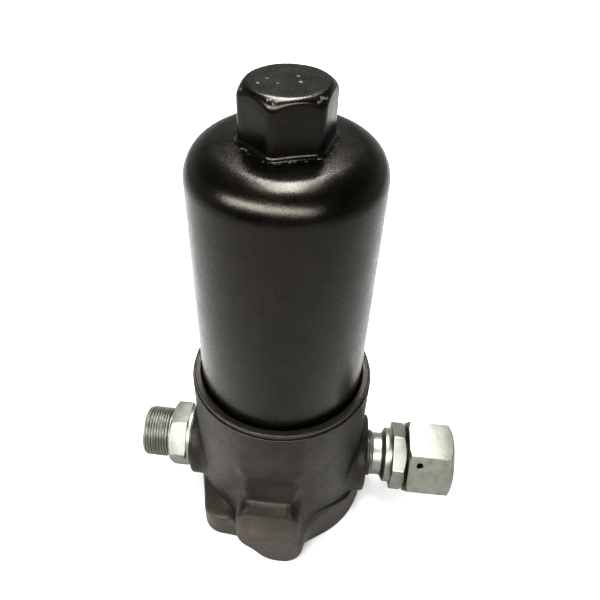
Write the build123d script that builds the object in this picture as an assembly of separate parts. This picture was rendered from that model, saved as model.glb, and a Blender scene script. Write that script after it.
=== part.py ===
from build123d import *
import math
import os

# High-pressure hydraulic filter standing on the flat base of its head, bowl upwards.
# Millimetres. +Z is up, the origin is on the bowl's axis in the base plane, +X points
# to the outlet port and -Y to the unmachined indicator boss at the front.

# Head casting, outside
HEAD_HEIGHT = 121.0
RIM_WALL = 6.2
RIM_BAND_INSET = 0.9
RIM_BAND_HEIGHT = 2.2
RIM_GROOVE_WIDTH = 1.3
RIM_GROOVE_DEPTH = 0.9
FLANGE_STEP = 3.2
FLANGE_DRAFT = 1.5
FLANGE_SHIFT = 1.6
FLANGE_HEIGHT = 24.0
SEAM_OVERLAP = 2.0
LOBE_ANGLE = -128.33
LOBE_INSET = 2.2
LOBE_RADIUS = 14.5
PORT_HEIGHT = 34.0
PORT_STAND_OUT = 5.0
PORT_BOSS_FLOOR = 7.0
CAST_EDGE = 1.8
CAST_ROOT = 2.4
LOBE_ROOT = 6.0

# Unmachined indicator boss on the front of the head
BOSS_STAND_OUT = 15.5
BOSS_LEFT = 20.5
BOSS_RIGHT = 19.5
BOSS_LOW = 11.0
BOSS_TOP = 64.0
BOSS_TOP_CORNER = 9.0
BOSS_LEFT_CORNER = 18.0
BOSS_TOE_X = 6.0
BOSS_TOE_RADIUS = 15.0
BOSS_FACE_EDGE = 4.5
BOSS_ROOT = 9.0
BOSS_DRAFT = 5.0

# Head casting, inside
CHAMBER_FLOOR_WALL = 7.5
SEAT_LEDGE = 80.0
NOSE_BORE_LENGTH = 15.5
THREAD_LENGTH = 21.5
RIM_CHAMFER = 1.1
PORT_THREAD_RADIUS = 16.5
PORT_THREAD_DEPTH = 18.0
PASSAGE_RADIUS = 12.5
RISER_RADIUS = 11.0
RISER_INSET = 0.5
MOUNT_SPACING_X = 60.0
MOUNT_SPACING_Y = 60.0
MOUNT_HOLE_RADIUS = 3.4
MOUNT_HOLE_DEPTH = 14.0

# Spigot that the filter element stands on
SPIGOT_WALL = 5.0
SPIGOT_HEIGHT = 22.0
SPIGOT_COLLAR_WIDTH = 3.0
SPIGOT_COLLAR_HEIGHT = 8.0
SPIGOT_VALVE_GAP = 2.0

# Bowl
BOWL_BORE_RADIUS = 42.5
BOWL_WALL = 8.0
BOWL_HEAD_ROOM = 11.9
BOWL_DOME_SLOPE = 6.9
BOWL_DOME_THICKNESS = 10.5
BOWL_INNER_SHOULDER_RADIUS = 12.0
BOWL_THREAD_STEP = 1.36
BOWL_NOSE_STEP = 2.3
BOWL_SHOULDER_GAP = 0.6
HEX_FLATS = 42.0
HEX_HEIGHT = 24.6
HEX_TURN = -102.4
HEX_CORNER_ROUND = 5.6
HEX_CROWN_INSET = 0.5
HEX_CROWN_ANGLE = 28.0
HEX_EDGE_ROUND = 2.0
HEX_ROOT = 2.5
HEX_LAND = 5.85

# Bowl seal
SEAL_GROOVE_START = 4.0
SEAL_GROOVE_WIDTH = 6.2
SEAL_GROOVE_DEPTH = 2.85
BOWL_CORD_HEIGHT = 3.8
BACKUP_RING_HEIGHT = 1.7

# Filter element
ELEMENT_GAP = 5.5
ELEMENT_HEIGHT = 186.0
ELEMENT_PLATE = 2.0
ELEMENT_SKIRT = 8.0
ELEMENT_SHEET = 0.8
ELEMENT_HUB_HEIGHT = 12.0
ELEMENT_HUB_WALL = 4.2
ELEMENT_CORD_RADIUS = 1.1
ELEMENT_KNOB_RADIUS = 9.0
ELEMENT_KNOB_HEIGHT = 3.0
CORE_HUB_GAP = 0.75
CORE_HOLE_RADIUS = 3.5
CORE_HOLE_ROWS = 9
CORE_HOLES_AROUND = 6
PLEATS = 40
PLEAT_THICKNESS = 0.9

# Bypass valve
VALVE_INSET = 13.0
VALVE_BORE_RADIUS = 8.6
VALVE_HEX_FLATS = 19.0
VALVE_HEX_TURN = 30.0
VALVE_HEX_HEIGHT = 2.5
VALVE_CAGE_RADIUS = 8.2
VALVE_CAGE_BORE = 6.6
VALVE_CAGE_LENGTH = 17.0
VALVE_SEAT_RADIUS = 5.0
VALVE_SEAT_DEPTH = 11.0
VALVE_WINDOW_WIDTH = 7.0
VALVE_WINDOW_LIP = 6.0
VALVE_WINDOWS = 3
POPPET_RADIUS = 6.3
POPPET_FACE = 2.5
POPPET_STEM_RADIUS = 2.0
POPPET_STEM_LENGTH = 13.7
RETAINER_THICKNESS = 1.6
CIRCLIP_THICKNESS = 1.2
CIRCLIP_SPRING_GAP = 4.0
CIRCLIP_GROOVE_DEPTH = 0.8
CIRCLIP_SECTION = 2.1
SPRING_WIRE_RADIUS = 0.45
SPRING_RADIUS = 4.4
SPRING_TURNS = 5

# Inlet fitting: male stud with tube end
INLET_SEAL_RADIUS = 20.6
INLET_SEAL_THICKNESS = 1.2
INLET_COLLAR_RADIUS = 21.8
INLET_COLLAR_LENGTH = 2.9
FITTING_HEX_FLATS = 41.0
INLET_HEX_LENGTH = 12.7
INLET_HEX_TURN = 10.5
INLET_RELIEF_LENGTH = 2.6
INLET_RELIEF_RADIUS = 16.7
TUBE_THREAD_RADIUS = 18.0
TUBE_THREAD_LENGTH = 17.2
TUBE_THREAD_CHAMFER = 1.3
TUBE_RADIUS = 14.05
TUBE_SOCKET_LENGTH = 7.6
TUBE_CONE_LENGTH = 6.0
FITTING_BORE_RADIUS = 12.0

# Outlet fitting: male stud with swivel nut
OUTLET_SEAL_GROOVE_RADIUS = 18.2
OUTLET_SEAL_GROOVE_DEPTH = 2.4
OUTLET_SEAL_CORD_RADIUS = 1.1
OUTLET_THREAD_SHOWING = 4.0
OUTLET_NECK_RADIUS = 14.8
OUTLET_NECK_END = 11.0
OUTLET_COLLAR_RADIUS = 19.0
OUTLET_COLLAR_START = 13.2
OUTLET_HEX_START = 18.1
OUTLET_HEX_LENGTH = 9.6
OUTLET_HEX_TURN = 27.0
STEM_RADIUS = 14.4
STEM_BORE_RADIUS = 10.0
STEM_CONE_LENGTH = 7.5
CONE_HALF_ANGLE = 12.0
CONE_CORD_RADIUS = 0.95

# Swivel nut
NUT_GAP = 1.0
NUT_LENGTH = 30.9
NUT_FLATS = 48.0
NUT_TURN = 56.5
NUT_END_RADIUS = 24.0
NUT_BORE_RADIUS = 14.5
NUT_THREAD_RADIUS = 16.92
NUT_THREAD_LENGTH = 12.4
NUT_RELIEF_RADIUS = 18.1
NUT_RELIEF_LENGTH = 2.4
NUT_MOUTH_CHAMFER = 1.5
WIRE_STATION = 7.4
WIRE_RADIUS = 1.1
WIRE_HOLE_RADIUS = 2.0
WIRE_HOLE_OFFSET = 6.7
WIRE_GAP_ANGLE = 12.0

# Clearances
FIT = 0.05
SEAL_FIT = 0.03
RIM_FIT = 0.3
LOOSE_FIT = 0.5

# Values worked out from the sizes above
BOWL_RADIUS = BOWL_BORE_RADIUS + BOWL_WALL
BOWL_NOSE_RADIUS = BOWL_RADIUS - BOWL_NOSE_STEP
BOWL_THREAD_RADIUS = BOWL_RADIUS - BOWL_THREAD_STEP
HEX_CORNER_REACH = HEX_FLATS / math.sqrt(3)
HEX_CROWN_RADIUS = HEX_FLATS / 2 - HEX_CROWN_INSET
BOWL_SHOULDER_RADIUS = BOWL_RADIUS - HEX_CORNER_REACH - HEX_ROOT - HEX_LAND
RIM_BORE_RADIUS = BOWL_RADIUS + RIM_FIT
HEAD_RADIUS = RIM_BORE_RADIUS + RIM_WALL
RIM_BAND_RADIUS = HEAD_RADIUS - RIM_BAND_INSET
FLANGE_RADIUS = HEAD_RADIUS + FLANGE_STEP
LOBE_X = (HEAD_RADIUS - LOBE_INSET) * math.cos(math.radians(LOBE_ANGLE))
LOBE_Y = (HEAD_RADIUS - LOBE_INSET) * math.sin(math.radians(LOBE_ANGLE))
PORT_FACE = HEAD_RADIUS + PORT_STAND_OUT
BOSS_FACE = HEAD_RADIUS + BOSS_STAND_OUT
PORT_BOSS_RADIUS = PORT_HEIGHT - PORT_BOSS_FLOOR
CHAMBER_FLOOR = PORT_HEIGHT + PASSAGE_RADIUS + CHAMBER_FLOOR_WALL
RISER_X = RISER_RADIUS + RISER_INSET - BOWL_BORE_RADIUS
VALVE_X = BOWL_BORE_RADIUS - VALVE_INSET
SPIGOT_COLLAR_RADIUS = VALVE_X - VALVE_HEX_FLATS / 2 - SPIGOT_VALVE_GAP
SPIGOT_RADIUS = SPIGOT_COLLAR_RADIUS - SPIGOT_COLLAR_WIDTH
SPIGOT_BORE_RADIUS = SPIGOT_RADIUS - SPIGOT_WALL
SPIGOT_TOP = CHAMBER_FLOOR + SPIGOT_HEIGHT
ELEMENT_RADIUS = BOWL_BORE_RADIUS - ELEMENT_GAP
CORE_RADIUS = SPIGOT_RADIUS + FIT + ELEMENT_HUB_WALL + CORE_HUB_GAP + ELEMENT_SHEET
NOSE_BORE_RADIUS = BOWL_NOSE_RADIUS + FIT
HEAD_THREAD_RADIUS = BOWL_THREAD_RADIUS + FIT
THREAD_START = SEAT_LEDGE + NOSE_BORE_LENGTH
THREAD_END = THREAD_START + THREAD_LENGTH
ELEMENT_SEAT = CHAMBER_FLOOR + SPIGOT_COLLAR_HEIGHT
ELEMENT_TOP = ELEMENT_SEAT + ELEMENT_HEIGHT
BOWL_WALL_TOP = ELEMENT_TOP + BOWL_HEAD_ROOM
SEAL_GROOVE_LOW = SEAT_LEDGE + SEAL_GROOVE_START
SEAL_GROOVE_RADIUS = BOWL_NOSE_RADIUS - SEAL_GROOVE_DEPTH
VALVE_SEAT_HEIGHT = CHAMBER_FLOOR - VALVE_SEAT_DEPTH
VALVE_CAGE_BOTTOM = VALVE_SEAT_HEIGHT - VALVE_CAGE_LENGTH
VALVE_WINDOW_BOTTOM = VALVE_CAGE_BOTTOM + VALVE_WINDOW_LIP
CIRCLIP_LOW = VALVE_CAGE_BOTTOM + CIRCLIP_THICKNESS
RETAINER_LOW = CIRCLIP_LOW + CIRCLIP_THICKNESS
SPRING_LOW = RETAINER_LOW + RETAINER_THICKNESS
SPRING_TOP = VALVE_SEAT_HEIGHT - POPPET_FACE
HEX_HALF_SECTOR = 30.0
HALF_TURN_CONE = math.tan(math.radians(CONE_HALF_ANGLE))


def post(radius, low, high, x=0.0, y=0.0):
    """Upright round bar between two heights."""
    bar = Cylinder(radius, high - low, align=(Align.CENTER, Align.CENTER, Align.MIN))
    return Pos(x, y, low) * bar


def turned(points):
    """Solid of revolution about Z from (radius, height) points."""
    section = make_face(Polyline(*[(r, 0, z) for r, z in points], close=True))
    return revolve(section, Axis.Z)


def ring(inner, outer, low, high):
    """Plain ring about Z."""
    return turned([(inner, low), (outer, low), (outer, high), (inner, high)])


def cord_ring(radius, cord_radius, height=0.0):
    """Round-section ring about Z."""
    return Pos(0, 0, height) * Torus(radius, cord_radius)


def hex_bar(flats, low, high, turn, crowns):
    """Hexagon bar along Z whose ends are turned to a cone; crowns holds each end's flat radius."""
    corner = flats / math.sqrt(3)
    slope = math.tan(math.radians(30))
    outline = RegularPolygon(flats / 2, 6, major_radius=False, rotation=turn)
    bar = Pos(0, 0, low) * extrude(outline, amount=high - low)
    reach = corner + 1
    low_drop = (reach - crowns[0]) * slope
    high_drop = (reach - crowns[1]) * slope
    envelope = turned([
        (0, low), (crowns[0], low), (reach, low + low_drop),
        (reach, high - high_drop), (crowns[1], high), (0, high),
    ])
    return bar & envelope


def edges_on(shape, test):
    """Edges whose sample points all pass the test."""
    samples = (0.1, 0.5, 0.9)
    return [e for e in shape.edges() if all(test(e @ u) for u in samples)]


def on_head_wall(point):
    return abs(math.hypot(point.X, point.Y) - HEAD_RADIUS) < 0.05


def indicator_boss():
    """Unmachined boss: a flat-topped pad with a round toe and moulding draft, square to -Y."""
    front = Plane(origin=(0, -BOSS_FACE, 0), x_dir=(1, 0, 0), z_dir=(0, -1, 0))
    with BuildSketch(front) as outline:
        with BuildLine():
            Polyline(
                (-BOSS_LEFT, BOSS_LOW), (BOSS_RIGHT, BOSS_LOW),
                (BOSS_RIGHT, BOSS_TOP), (-BOSS_LEFT, BOSS_TOP), close=True,
            )
        make_face()
        fillet(outline.vertices().group_by(Axis.Y)[-1], BOSS_TOP_CORNER)
        fillet(outline.vertices().group_by(Axis.Y)[0].sort_by(Axis.X)[0], BOSS_LEFT_CORNER)
        with Locations((BOSS_TOE_X, BOSS_TOE_RADIUS)):
            Circle(BOSS_TOE_RADIUS)
    boss = extrude(outline.sketch, amount=-BOSS_FACE, taper=-BOSS_DRAFT)
    face = boss.faces().sort_by(Axis.Y)[0]
    return fillet(face.edges(), BOSS_FACE_EDGE)


def head_upper(boss):
    """Round wall above the flange, blended into the indicator boss."""
    low = FLANGE_HEIGHT - SEAM_OVERLAP
    reach = 4 * HEAD_RADIUS
    above = Pos(0, 0, low) * Box(reach, reach, reach, align=(Align.CENTER, Align.CENTER, Align.MIN))
    wall = post(HEAD_RADIUS, low, HEAD_HEIGHT) + (boss & above)

    def on_root(p):
        return on_head_wall(p) and p.Y < 0 and low + 0.01 < p.Z < HEAD_HEIGHT - SEAM_OVERLAP

    return fillet(edges_on(wall, on_root), BOSS_ROOT)


def head_ports():
    """Round wall crossed by the two port bosses."""
    bosses = Pos(0, 0, PORT_HEIGHT) * Rot(0, 90, 0) * Cylinder(PORT_BOSS_RADIUS, 2 * PORT_FACE)
    bosses = fillet(bosses.edges().filter_by(GeomType.CIRCLE), CAST_EDGE)
    wall = post(HEAD_RADIUS, 0, HEAD_HEIGHT) + bosses

    def on_root(p):
        on_boss = abs(math.hypot(p.Y, p.Z - PORT_HEIGHT) - PORT_BOSS_RADIUS) < 0.05
        return on_head_wall(p) and on_boss

    return fillet(edges_on(wall, on_root), CAST_ROOT)


def head_foot():
    """Wider foot below the cast seam, with its round lobe at the front left."""
    flange = turned([
        (0, 0), (FLANGE_RADIUS, 0), (FLANGE_RADIUS - FLANGE_DRAFT, FLANGE_HEIGHT), (0, FLANGE_HEIGHT),
    ])
    flange = Pos(FLANGE_SHIFT, 0, 0) * flange
    lobe = post(LOBE_RADIUS, 0, FLANGE_HEIGHT, LOBE_X, LOBE_Y)
    foot = flange + lobe

    def on_corner(p):
        return abs(math.hypot(p.X - LOBE_X, p.Y - LOBE_Y) - LOBE_RADIUS) < 0.05

    corners = [e for e in edges_on(foot, on_corner) if abs((e @ 1 - e @ 0).Z) > FLANGE_HEIGHT / 2]
    outer = [e for e in corners if math.hypot(e.center().X, e.center().Y) > FLANGE_RADIUS / 2]
    foot = fillet(outer, LOBE_ROOT)
    for face in (foot.faces().sort_by(Axis.Z)[-1], foot.faces().sort_by(Axis.Z)[0]):
        foot = fillet(face.outer_wire().edges(), CAST_EDGE)
    return foot


def head_outside():
    boss = indicator_boss()
    floor = Box(4 * HEAD_RADIUS, 4 * HEAD_RADIUS, HEAD_HEIGHT, align=(Align.CENTER, Align.CENTER, Align.MIN))
    casting = head_ports() + head_upper(boss) + (boss & floor) + head_foot()
    band = HEAD_HEIGHT - RIM_BAND_HEIGHT
    outside = HEAD_RADIUS + 2
    groove_bottom = band - RIM_GROOVE_WIDTH
    lathe_cut = turned([
        (RIM_BAND_RADIUS - 0.6, HEAD_HEIGHT), (RIM_BAND_RADIUS, HEAD_HEIGHT - 0.6),
        (RIM_BAND_RADIUS, band), (RIM_BAND_RADIUS - RIM_GROOVE_DEPTH, band),
        (RIM_BAND_RADIUS - RIM_GROOVE_DEPTH, groove_bottom), (HEAD_RADIUS - 0.4, groove_bottom),
        (outside, groove_bottom - 1.2), (outside, HEAD_HEIGHT),
    ])
    return casting - lathe_cut


def head_socket():
    """Everything turned out of the head from above, round the spigot."""
    socket = turned([
        (0, CHAMBER_FLOOR), (BOWL_BORE_RADIUS, CHAMBER_FLOOR), (BOWL_BORE_RADIUS, SEAT_LEDGE),
        (NOSE_BORE_RADIUS, SEAT_LEDGE), (NOSE_BORE_RADIUS, THREAD_START - 0.9),
        (HEAD_THREAD_RADIUS, THREAD_START), (HEAD_THREAD_RADIUS, THREAD_END),
        (RIM_BORE_RADIUS, THREAD_END), (RIM_BORE_RADIUS, HEAD_HEIGHT - RIM_CHAMFER),
        (RIM_BORE_RADIUS + RIM_CHAMFER, HEAD_HEIGHT), (RIM_BORE_RADIUS + RIM_CHAMFER, HEAD_HEIGHT + 1),
        (0, HEAD_HEIGHT + 1),
    ])
    spigot = turned([
        (0, CHAMBER_FLOOR), (SPIGOT_COLLAR_RADIUS, CHAMBER_FLOOR), (SPIGOT_COLLAR_RADIUS, ELEMENT_SEAT),
        (SPIGOT_RADIUS, ELEMENT_SEAT), (SPIGOT_RADIUS, SPIGOT_TOP - 1.5), (SPIGOT_RADIUS - 1.0, SPIGOT_TOP),
        (0, SPIGOT_TOP),
    ])
    return socket - spigot


def sideways(radius, start, end):
    """Round cutter along X on the port axis."""
    bar = Rot(0, 90, 0) * Cylinder(radius, abs(end - start))
    return Pos((start + end) / 2, 0, PORT_HEIGHT) * bar


def head_passages():
    """Ports, the inlet riser, the outlet passage and the bypass bore."""
    thread_end = PORT_FACE - PORT_THREAD_DEPTH
    inlet = sideways(PORT_THREAD_RADIUS, -PORT_FACE - 1, -thread_end)
    inlet += sideways(PASSAGE_RADIUS, -thread_end, RISER_X)
    inlet += post(RISER_RADIUS, PORT_HEIGHT - RISER_RADIUS, CHAMBER_FLOOR + 1, RISER_X)
    outlet = sideways(PORT_THREAD_RADIUS, thread_end, PORT_FACE + 1)
    outlet += sideways(PASSAGE_RADIUS, 0, thread_end)
    outlet += sideways(OUTLET_SEAL_GROOVE_RADIUS, PORT_FACE - OUTLET_SEAL_GROOVE_DEPTH, PORT_FACE + 1)
    outlet += post(SPIGOT_BORE_RADIUS, PORT_HEIGHT - SPIGOT_BORE_RADIUS, SPIGOT_TOP + 1)
    bypass = post(VALVE_BORE_RADIUS, PORT_HEIGHT, CHAMBER_FLOOR + 1, VALVE_X)
    return inlet + outlet + bypass


def mount_holes():
    holes = []
    for sx in (-1, 1):
        for sy in (-1, 1):
            x, y = sx * MOUNT_SPACING_X / 2, sy * MOUNT_SPACING_Y / 2
            holes.append(post(MOUNT_HOLE_RADIUS, -1, MOUNT_HOLE_DEPTH, x, y))
    return holes


def filter_head():
    head = head_outside() - head_socket() - head_passages()
    for hole in mount_holes():
        head = head - hole
    return head


def bowl_shell():
    """Turned bowl: sealing nose, thread, wall, shoulder arc and shallow dome."""
    slope = math.radians(BOWL_DOME_SLOPE)
    arc_x = BOWL_RADIUS - BOWL_SHOULDER_RADIUS
    arc_end = (arc_x + BOWL_SHOULDER_RADIUS * math.sin(slope),
               BOWL_WALL_TOP + BOWL_SHOULDER_RADIUS * math.cos(slope))
    arc_mid = (arc_x + BOWL_SHOULDER_RADIUS * math.sin((math.pi / 2 + slope) / 2),
               BOWL_WALL_TOP + BOWL_SHOULDER_RADIUS * math.cos((math.pi / 2 + slope) / 2))
    crown = arc_end[1] + arc_end[0] * math.tan(slope)
    roof = arc_end[1] - BOWL_DOME_THICKNESS
    inner_x = BOWL_BORE_RADIUS - BOWL_INNER_SHOULDER_RADIUS
    inner_low = roof - BOWL_INNER_SHOULDER_RADIUS
    half = BOWL_INNER_SHOULDER_RADIUS * math.sqrt(0.5)
    shoulder = THREAD_END + BOWL_SHOULDER_GAP
    groove_high = SEAL_GROOVE_LOW + SEAL_GROOVE_WIDTH

    def at(r, z):
        return (r, 0, z)

    outside = Polyline(
        at(BOWL_BORE_RADIUS, SEAT_LEDGE), at(BOWL_NOSE_RADIUS - 0.8, SEAT_LEDGE),
        at(BOWL_NOSE_RADIUS, SEAT_LEDGE + 1.2), at(BOWL_NOSE_RADIUS, SEAL_GROOVE_LOW),
        at(SEAL_GROOVE_RADIUS, SEAL_GROOVE_LOW), at(SEAL_GROOVE_RADIUS, groove_high),
        at(BOWL_NOSE_RADIUS, groove_high), at(BOWL_NOSE_RADIUS, THREAD_START),
        at(BOWL_THREAD_RADIUS, THREAD_START + 0.9), at(BOWL_THREAD_RADIUS, shoulder - 2.0),
        at(BOWL_NOSE_RADIUS, shoulder - 1.5), at(BOWL_NOSE_RADIUS, shoulder),
        at(BOWL_RADIUS - 0.6, shoulder), at(BOWL_RADIUS, shoulder + 0.6),
        at(BOWL_RADIUS, BOWL_WALL_TOP),
    )
    arc = ThreePointArc(at(BOWL_RADIUS, BOWL_WALL_TOP), at(*arc_mid), at(*arc_end))
    dome = Polyline(at(*arc_end), at(0, crown), at(0, roof), at(inner_x, roof))
    inner_arc = ThreePointArc(at(inner_x, roof), at(inner_x + half, inner_low + half),
                              at(BOWL_BORE_RADIUS, inner_low))
    bore = Line(at(BOWL_BORE_RADIUS, inner_low), at(BOWL_BORE_RADIUS, SEAT_LEDGE))
    section = make_face(Wire([*outside.edges(), *arc.edges(), *dome.edges(), *inner_arc.edges(), *bore.edges()]))
    return revolve(section, Axis.Z), crown


def filter_bowl():
    """Bowl with the forged spanner hexagon standing on its dome."""
    shell, crown = bowl_shell()
    low = crown - BOWL_DOME_THICKNESS / 2
    top = crown + HEX_HEIGHT
    outline = RegularPolygon(HEX_FLATS / 2, 6, major_radius=False, rotation=HEX_TURN)
    hexagon = Pos(0, 0, low) * extrude(outline, amount=top - low)
    corners = hexagon.edges().filter_by(Axis.Z)
    hexagon = fillet(corners, HEX_CORNER_ROUND)
    reach = HEX_FLATS
    drop = (reach - HEX_CROWN_RADIUS) * math.tan(math.radians(HEX_CROWN_ANGLE))
    crown_cone = turned([(0, low), (reach, low), (reach, top - drop), (HEX_CROWN_RADIUS, top), (0, top)])
    hexagon = hexagon & crown_cone
    hexagon = fillet(hexagon.faces().sort_by(Axis.Z)[-1].edges(), HEX_EDGE_ROUND)
    bowl = shell + hexagon
    apothem, corner = HEX_FLATS / 2, HEX_CORNER_REACH

    def on_root(p):
        return apothem - 0.1 < math.hypot(p.X, p.Y) < corner + 0.1 and low < p.Z < crown

    return fillet(edges_on(bowl, on_root), HEX_ROOT)


def bowl_o_ring():
    """O-ring squeezed to the depth of the bowl's groove."""
    centre = (SEAL_GROOVE_RADIUS + BOWL_NOSE_RADIUS) / 2
    width = (BOWL_NOSE_RADIUS - SEAL_GROOVE_RADIUS) / 2 - SEAL_FIT
    height = SEAL_GROOVE_LOW + 0.3 + BOWL_CORD_HEIGHT / 2
    section = Plane.XZ * Pos(centre, height) * Ellipse(width, BOWL_CORD_HEIGHT / 2)
    return revolve(section, Axis.Z)


def bowl_backup_ring():
    high = SEAL_GROOVE_LOW + SEAL_GROOVE_WIDTH - SEAL_FIT
    return ring(SEAL_GROOVE_RADIUS + SEAL_FIT, BOWL_NOSE_RADIUS - SEAL_FIT, high - BACKUP_RING_HEIGHT, high)


def hub_groove():
    """Lowest height, height and bottom radius of the cord groove inside the element's hub."""
    low = ELEMENT_SEAT + ELEMENT_HUB_HEIGHT / 2 - ELEMENT_CORD_RADIUS
    return low, 2.6 * ELEMENT_CORD_RADIUS, SPIGOT_RADIUS + 2 * ELEMENT_CORD_RADIUS + 2 * SEAL_FIT


def element_open_end_cap():
    """Lower cap: plate, hub that slips over the spigot, and outer skirt."""
    inner = SPIGOT_RADIUS + FIT
    plate = ELEMENT_SEAT + ELEMENT_PLATE
    low, height, bottom = hub_groove()
    return turned([
        (inner, ELEMENT_SEAT), (ELEMENT_RADIUS, ELEMENT_SEAT), (ELEMENT_RADIUS, ELEMENT_SEAT + ELEMENT_SKIRT),
        (ELEMENT_RADIUS - ELEMENT_SHEET, ELEMENT_SEAT + ELEMENT_SKIRT), (ELEMENT_RADIUS - ELEMENT_SHEET, plate),
        (inner + ELEMENT_HUB_WALL, plate), (inner + ELEMENT_HUB_WALL, ELEMENT_SEAT + ELEMENT_HUB_HEIGHT),
        (inner, ELEMENT_SEAT + ELEMENT_HUB_HEIGHT), (inner, low + height), (bottom, low + height),
        (bottom, low), (inner, low),
    ])


def element_closed_end_cap():
    """Upper cap: plate with a raised grip knob, and outer skirt."""
    plate = ELEMENT_TOP - ELEMENT_PLATE
    return turned([
        (0, plate), (ELEMENT_RADIUS - ELEMENT_SHEET, plate), (ELEMENT_RADIUS - ELEMENT_SHEET, ELEMENT_TOP - ELEMENT_SKIRT),
        (ELEMENT_RADIUS, ELEMENT_TOP - ELEMENT_SKIRT), (ELEMENT_RADIUS, ELEMENT_TOP),
        (ELEMENT_KNOB_RADIUS + 2, ELEMENT_TOP), (ELEMENT_KNOB_RADIUS, ELEMENT_TOP + ELEMENT_KNOB_HEIGHT),
        (0, ELEMENT_TOP + ELEMENT_KNOB_HEIGHT),
    ])


def element_span():
    """Lowest and highest height of what is potted between the two caps."""
    return ELEMENT_SEAT + ELEMENT_PLATE, ELEMENT_TOP - ELEMENT_PLATE


def element_core_tube():
    """Perforated steel core with staggered rows of holes."""
    low, high = element_span()
    tube = ring(CORE_RADIUS - ELEMENT_SHEET, CORE_RADIUS, low, high)
    pitch = (high - low - ELEMENT_HUB_HEIGHT) / CORE_HOLE_ROWS
    step = 360 / CORE_HOLES_AROUND
    drills = []
    for row in range(CORE_HOLE_ROWS):
        height = low + ELEMENT_HUB_HEIGHT + (row + 0.5) * pitch
        for k in range(CORE_HOLES_AROUND):
            turn = (k + 0.5 * (row % 2)) * step
            drill = Rot(0, 90, 0) * Cylinder(CORE_HOLE_RADIUS, 4 * ELEMENT_SHEET)
            drills.append(Rot(0, 0, turn) * Pos(CORE_RADIUS, 0, height) * drill)
    return tube - drills


def element_pleated_media():
    """Filter medium folded to and fro between the core and the outer sleeve."""
    low, high = element_span()
    inner = CORE_RADIUS + 2 * FIT
    outer = ELEMENT_RADIUS - 2 * ELEMENT_SHEET - 2 * FIT
    fold = 2 * math.pi / PLEATS
    lip = PLEAT_THICKNESS

    def at(radius, angle):
        return (radius * math.cos(angle), radius * math.sin(angle))

    outer_side, inner_side = [], []
    for k in range(PLEATS):
        tip = k * fold
        root = tip + fold / 2
        outer_side += [at(outer, tip - 0.12 * fold), at(outer, tip + 0.12 * fold)]
        outer_side += [at(inner + 2 * lip, root)]
        inner_side += [at(outer - 2 * lip, tip)]
        inner_side += [at(inner, root - 0.16 * fold), at(inner, root + 0.16 * fold)]
    shape = make_face(Polyline(*outer_side, close=True)) - make_face(Polyline(*inner_side, close=True))
    return Pos(0, 0, low) * extrude(shape, amount=high - low)


def element_outer_sleeve():
    low, high = element_span()
    outer = ELEMENT_RADIUS - ELEMENT_SHEET
    return ring(outer - ELEMENT_SHEET, outer, low, high)


def element_o_ring():
    low, height, bottom = hub_groove()
    return cord_ring(SPIGOT_RADIUS + SEAL_FIT + ELEMENT_CORD_RADIUS, ELEMENT_CORD_RADIUS, low + height / 2)


def bypass_valve_cage():
    """Screwed-in seat with a hexagon head and a windowed cage below it."""
    seat = VALVE_SEAT_HEIGHT
    body = turned([
        (VALVE_SEAT_RADIUS, CHAMBER_FLOOR), (VALVE_BORE_RADIUS - FIT, CHAMBER_FLOOR),
        (VALVE_BORE_RADIUS - FIT, seat + 3), (VALVE_CAGE_RADIUS, seat + 2.5), (VALVE_CAGE_RADIUS, VALVE_CAGE_BOTTOM),
        (VALVE_CAGE_BORE, VALVE_CAGE_BOTTOM), (VALVE_CAGE_BORE, CIRCLIP_LOW),
        (VALVE_CAGE_BORE + CIRCLIP_GROOVE_DEPTH, CIRCLIP_LOW), (VALVE_CAGE_BORE + CIRCLIP_GROOVE_DEPTH, RETAINER_LOW),
        (VALVE_CAGE_BORE, RETAINER_LOW), (VALVE_CAGE_BORE, seat), (VALVE_SEAT_RADIUS, seat),
    ])
    head = hex_bar(VALVE_HEX_FLATS, CHAMBER_FLOOR, CHAMBER_FLOOR + VALVE_HEX_HEIGHT, VALVE_HEX_TURN,
                   (VALVE_HEX_FLATS / math.sqrt(3) + 0.5, VALVE_HEX_FLATS / 2 - 0.3))
    body += head - post(VALVE_SEAT_RADIUS, CHAMBER_FLOOR - 1, CHAMBER_FLOOR + VALVE_HEX_HEIGHT + 1)
    window_height = seat - 2.0 - VALVE_WINDOW_BOTTOM
    for k in range(VALVE_WINDOWS):
        window = Box(2 * VALVE_CAGE_RADIUS, VALVE_WINDOW_WIDTH, window_height,
                     align=(Align.MIN, Align.CENTER, Align.MIN))
        body -= Rot(0, 0, k * 360 / VALVE_WINDOWS) * Pos(0, 0, VALVE_WINDOW_BOTTOM) * window
    return Pos(VALVE_X, 0, 0) * body


def bypass_poppet():
    """Cone that closes the seat from below, with its guide stem."""
    seat = VALVE_SEAT_HEIGHT - FIT
    face = POPPET_RADIUS - VALVE_SEAT_RADIUS
    nose = 1.2
    return Pos(VALVE_X, 0, 0) * turned([
        (0, SPRING_TOP - POPPET_STEM_LENGTH), (POPPET_STEM_RADIUS - 0.4, SPRING_TOP - POPPET_STEM_LENGTH),
        (POPPET_STEM_RADIUS, SPRING_TOP - POPPET_STEM_LENGTH + 0.4), (POPPET_STEM_RADIUS, SPRING_TOP),
        (POPPET_RADIUS, SPRING_TOP), (POPPET_RADIUS, seat - face), (VALVE_SEAT_RADIUS - nose, seat + nose),
        (0, seat + nose),
    ])


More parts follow.
